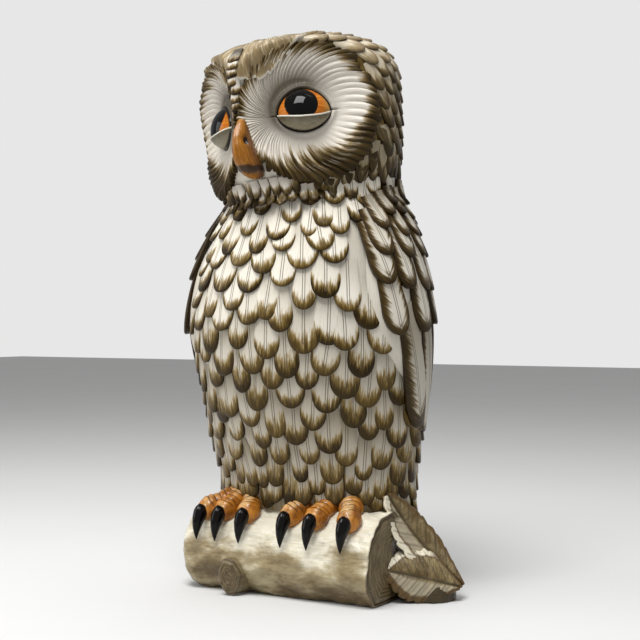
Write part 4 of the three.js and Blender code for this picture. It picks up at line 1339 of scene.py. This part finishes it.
def stub():
    """A sawn branch that leans out of the front of the log."""
    turn = full_turn(96)
    # Out along its side, then in over its rounded rim.
    t = np.concatenate([np.linspace(0, 0.96, 26), [0.985, 1.0, 1.0, 1.0]])[:, None]
    shrink = np.concatenate([np.ones(27), [0.95, 0.86, 0.8]])[:, None]
    dent = np.concatenate([np.zeros(27), [0.2, -0.6, -1.6]])[:, None]
    wobble = noise(xyz(np.cos(turn) * 14, np.sin(turn) * 14, 0), 8.0, 50)
    half_x = (STUB_HALF_WIDTH + 5 * (1 - t) ** 2 + 1.2 * wobble) * shrink
    half_z = (STUB_HALF_HEIGHT + 2 * (1 - t) ** 2 + 1.2 * wobble) * shrink
    furrows = 0.8 * noise(xyz(turn * 9, t * 3, 0), 2.4, 51)
    x = STUB_X - 4 * t + (half_x + furrows) * np.cos(turn)
    z = STUB_Z - 1.5 * t + (half_z + furrows) * np.sin(turn)
    y = mix(*STUB_REACH, t) + dent + 0.22 * (x - STUB_X) - 0.10 * (z - STUB_Z) * smooth(t, 0.4, 1)
    points = xyz(x, y, np.maximum(z, 0.4))
    edge = np.concatenate([np.zeros(24), [0.3, 0.6, 0.9, 0.7, 0.5, 0.3]])[:, None]
    sheet = Patchwork()
    sheet.add(points, xyz(turn * 14, t * 34, 7), xyz(edge, 0, 0.75), around=True, flip=True)
    rings = np.linspace(1, 0.05, 22)[:, None]
    core = points[-1].mean(0)
    face = core + (points[-1] - core) * rings[..., None]
    face[..., 1] += 0.2 * np.sin(rings * 26) + 1.3 * noise(face, 6.0, 52)
    dark = 0.38 + 0.10 * np.sin(rings * 26 + 1) + 0.5 * layered(face, 9.0, 53, 2)
    sheet.add(face, xyz(rings * 16, turn * 12, 9), xyz(dark, 0, 1), around=True, caps=(False, True),
              flip=True)
    sheet.build("stub_bark", BARK, "bark_glaze", "log_stub")


LEAVES = {
    "low_leaf": dict(stalk=(162, 38, 13), tip=(106, -8, 31), facing=(0.5, -0.8, 0.35),
                     half=27, arch=3, fold=0.3, ruffle=-1),
    "high_leaf": dict(stalk=(160, 48, 12), tip=(97, 10, 100), facing=(0.65, -0.55, 0.5),
                      half=23, arch=-8, fold=-0.15, ruffle=1),
}
LEAF_THICKNESS = 6.0
VEINS = 8


def leaf(name, stalk, tip, facing, half, arch, fold, ruffle):
    """A veined blade with a torn edge, folded back along its midrib and ruffled along one side of it."""
    stalk, tip = np.array(stalk, float), np.array(tip, float)
    along = unit(tip - stalk)
    across = unit(np.cross(np.array(facing, float), along))
    face = np.cross(along, across)
    s = np.linspace(0.0, 1.0, 120)[:, None]  # from the stalk to the tip
    c = np.sin(np.radians(np.linspace(-90, 90, 61)))[None]  # from side to side
    out = np.abs(c)
    ruffled = smooth(ruffle * c, 0, 0.3)
    width = half * (0.15 + 0.85 * np.maximum(np.sin(np.pi * s**1.15), 0) ** 0.75) * (0.86 + 0.24 * ruffled)
    teeth = np.abs(np.sin(np.pi * (s * 9 + 0.12 * np.sin(s * 40)))) ** 0.7
    torn = 1 + (0.10 * teeth - 0.06) * out**3 + 0.02 * noise(xyz(s * 60, 0, 0), 3.0, 60)
    x = s * np.linalg.norm(tip - stalk) + 2.5 * teeth * out**4
    y = c * width * torn
    vein_at = s * VEINS - 1.6 * out * width / half
    vein = swell(np.mod(vein_at, 1), 0.5, 0.075) * smooth(out, 0.03, 0.12) * (1 - smooth(out, 0.86, 0.97))
    rib = swell(c * width, 0, 1.2)
    quilt = 1.3 * np.sin(np.pi * np.mod(vein_at, 1)) * smooth(out, 0.02, 0.3) * (1 - out**4)
    curl = (1.8 + 5.0 * ruffled) * out**4 * noise(xyz(s * 40, c * 5, 0), 9.0, 61)
    bent = arch * np.sin(np.pi * s) - fold * np.abs(y)
    edge = round_off(out, 8)
    up = bent + quilt + curl - 0.9 * vein - 1.8 * rib * (1 - smooth(s, 0.9, 1)) + edge * LEAF_THICKNESS / 2
    down = bent + curl - edge * LEAF_THICKNESS / 2
    near = width * (1 - out)
    tone = xyz(near, np.maximum(0.65 * vein, rib), c)
    shade_and_tint = xyz(ruffled * smooth(s, 0.28, 0.5), 0, 0)
    sheet = Patchwork()
    ends = []
    for level, flip, paint in ((up, True, tone), (down, False, xyz(near + 6, 0, c))):
        points = stalk + x[..., None] * along + y[..., None] * across + level[..., None] * face
        points[..., 2] = np.maximum(points[..., 2], 0.5)
        sheet.add(points, xyz(y, x, 0), paint, shade_and_tint, flip=flip)
        ends.append((points[:1], points[-1:]))
    for upper, lower, flip in zip(*ends, (False, True)):
        sheet.add(np.concatenate([upper, lower]), tone=(3.0, 0, 0), flip=flip)
    sheet.build(f"{name}_blade", LEAF, "leaf_glaze", name)


def footing():
    """The dark mound that carries the leaves."""
    turn, rise = np.meshgrid(full_turn(120), np.linspace(0.0, 1.5, 40))
    lump = 1 + 0.05 * layered(xyz(np.cos(turn) * 30, np.sin(turn) * 30, rise * 20), 14.0, 70)
    points = xyz(MOUND_X + MOUND_RADIUS * lump * np.cos(rise) * np.cos(turn),
                 MOUND_Y + MOUND_RADIUS * lump * np.cos(rise) * np.sin(turn),
                 0.3 + MOUND_HEIGHT * lump * np.sin(rise))
    sheet = Patchwork()
    sheet.add(points, xyz(turn * 30, rise * 34, 0), (12.0, 0, 0), (0, 1.0, 0), around=True, caps=(True, True))
    sheet.build("leaf_mound", LEAF, "leaf_glaze", "leaf_footing")


torso()
body_feathers()
wings()
tail()
head_form()
for disc_label, disc_side in SIDES:
    facial_disc(disc_label, disc_side)
eyes()
beak()
brow_and_ridge()
head_feathers()
ruff()
chin()
toes()
log()
for leaf_name, leaf_shape in LEAVES.items():
    leaf(leaf_name, **leaf_shape)
footing()
for wing_label, wing_side in SIDES:
    wing_back_edge(wing_label, wing_side)


# ---- Floor, light and camera ----
# name: place, size and power
LAMPS = {"key": ((0.10, -0.68, 1.65), 0.75, 27.5), "fill": ((-1.5, -1.0, 0.8), 1.2, 13),
         "top": ((0.0, 0.6, 1.9), 1.2, 7)}
LAMPS_AIM = (0, 0.02, 0.28)
WORLD_LIGHT, WORLD_SEEN = 0.40, 0.80  # the backdrop's strength as a light, and as the camera sees it
CAMERA_TURN = math.radians(30)
CAMERA_LENS = 71.4
CAMERA_BACK, CAMERA_RIGHT, CAMERA_HEIGHT = 1.27, 0.025, 0.27


def stage():
    bpy.ops.mesh.primitive_plane_add(size=12, location=(0, 0, -0.0005))
    floor = bpy.context.object
    floor.name = "floor"
    p = Paint("floor_paint")
    p.glaze(p.blend(p.grain(p.place(), 3.0), (0.66, 0.66, 0.655), (0.70, 0.70, 0.695)), 0.8)
    floor.data.materials.append(p.material)
    world = bpy.data.worlds.new("studio")
    bpy.context.scene.world = world
    world.use_nodes = True
    tree = world.node_tree
    seen = tree.nodes.new("ShaderNodeLightPath").outputs["Is Camera Ray"]
    strength = tree.nodes.new("ShaderNodeMapRange")
    tree.links.new(seen, strength.inputs["Value"])
    strength.inputs["To Min"].default_value = WORLD_LIGHT
    strength.inputs["To Max"].default_value = WORLD_SEEN
    tree.nodes["Background"].inputs["Color"].default_value = (1, 1, 1, 1)
    tree.links.new(strength.outputs["Result"], tree.nodes["Background"].inputs["Strength"])
    bpy.context.scene.view_settings.view_transform = "Standard"
    for name, (place, size, power) in LAMPS.items():
        light = bpy.data.lights.new(name, "AREA")
        light.energy = power
        light.size = size
        lamp = bpy.data.objects.new(name, light)
        bpy.context.scene.collection.objects.link(lamp)
        lamp.location = place
        lamp.rotation_euler = (Vector(LAMPS_AIM) - Vector(place)).to_track_quat("-Z", "Y").to_euler()


def camera():
    back = Vector((math.sin(CAMERA_TURN), -math.cos(CAMERA_TURN), 0))
    right = Vector((math.cos(CAMERA_TURN), math.sin(CAMERA_TURN), 0))
    data = bpy.data.cameras.new("camera")
    data.lens = CAMERA_LENS
    view = bpy.data.objects.new("camera", data)
    bpy.context.scene.collection.objects.link(view)
    view.location = back * CAMERA_BACK + right * CAMERA_RIGHT + Vector((0, 0, CAMERA_HEIGHT))
    view.rotation_euler = (-back).to_track_quat("-Z", "Y").to_euler()
    bpy.context.scene.camera = view


stage()
camera()
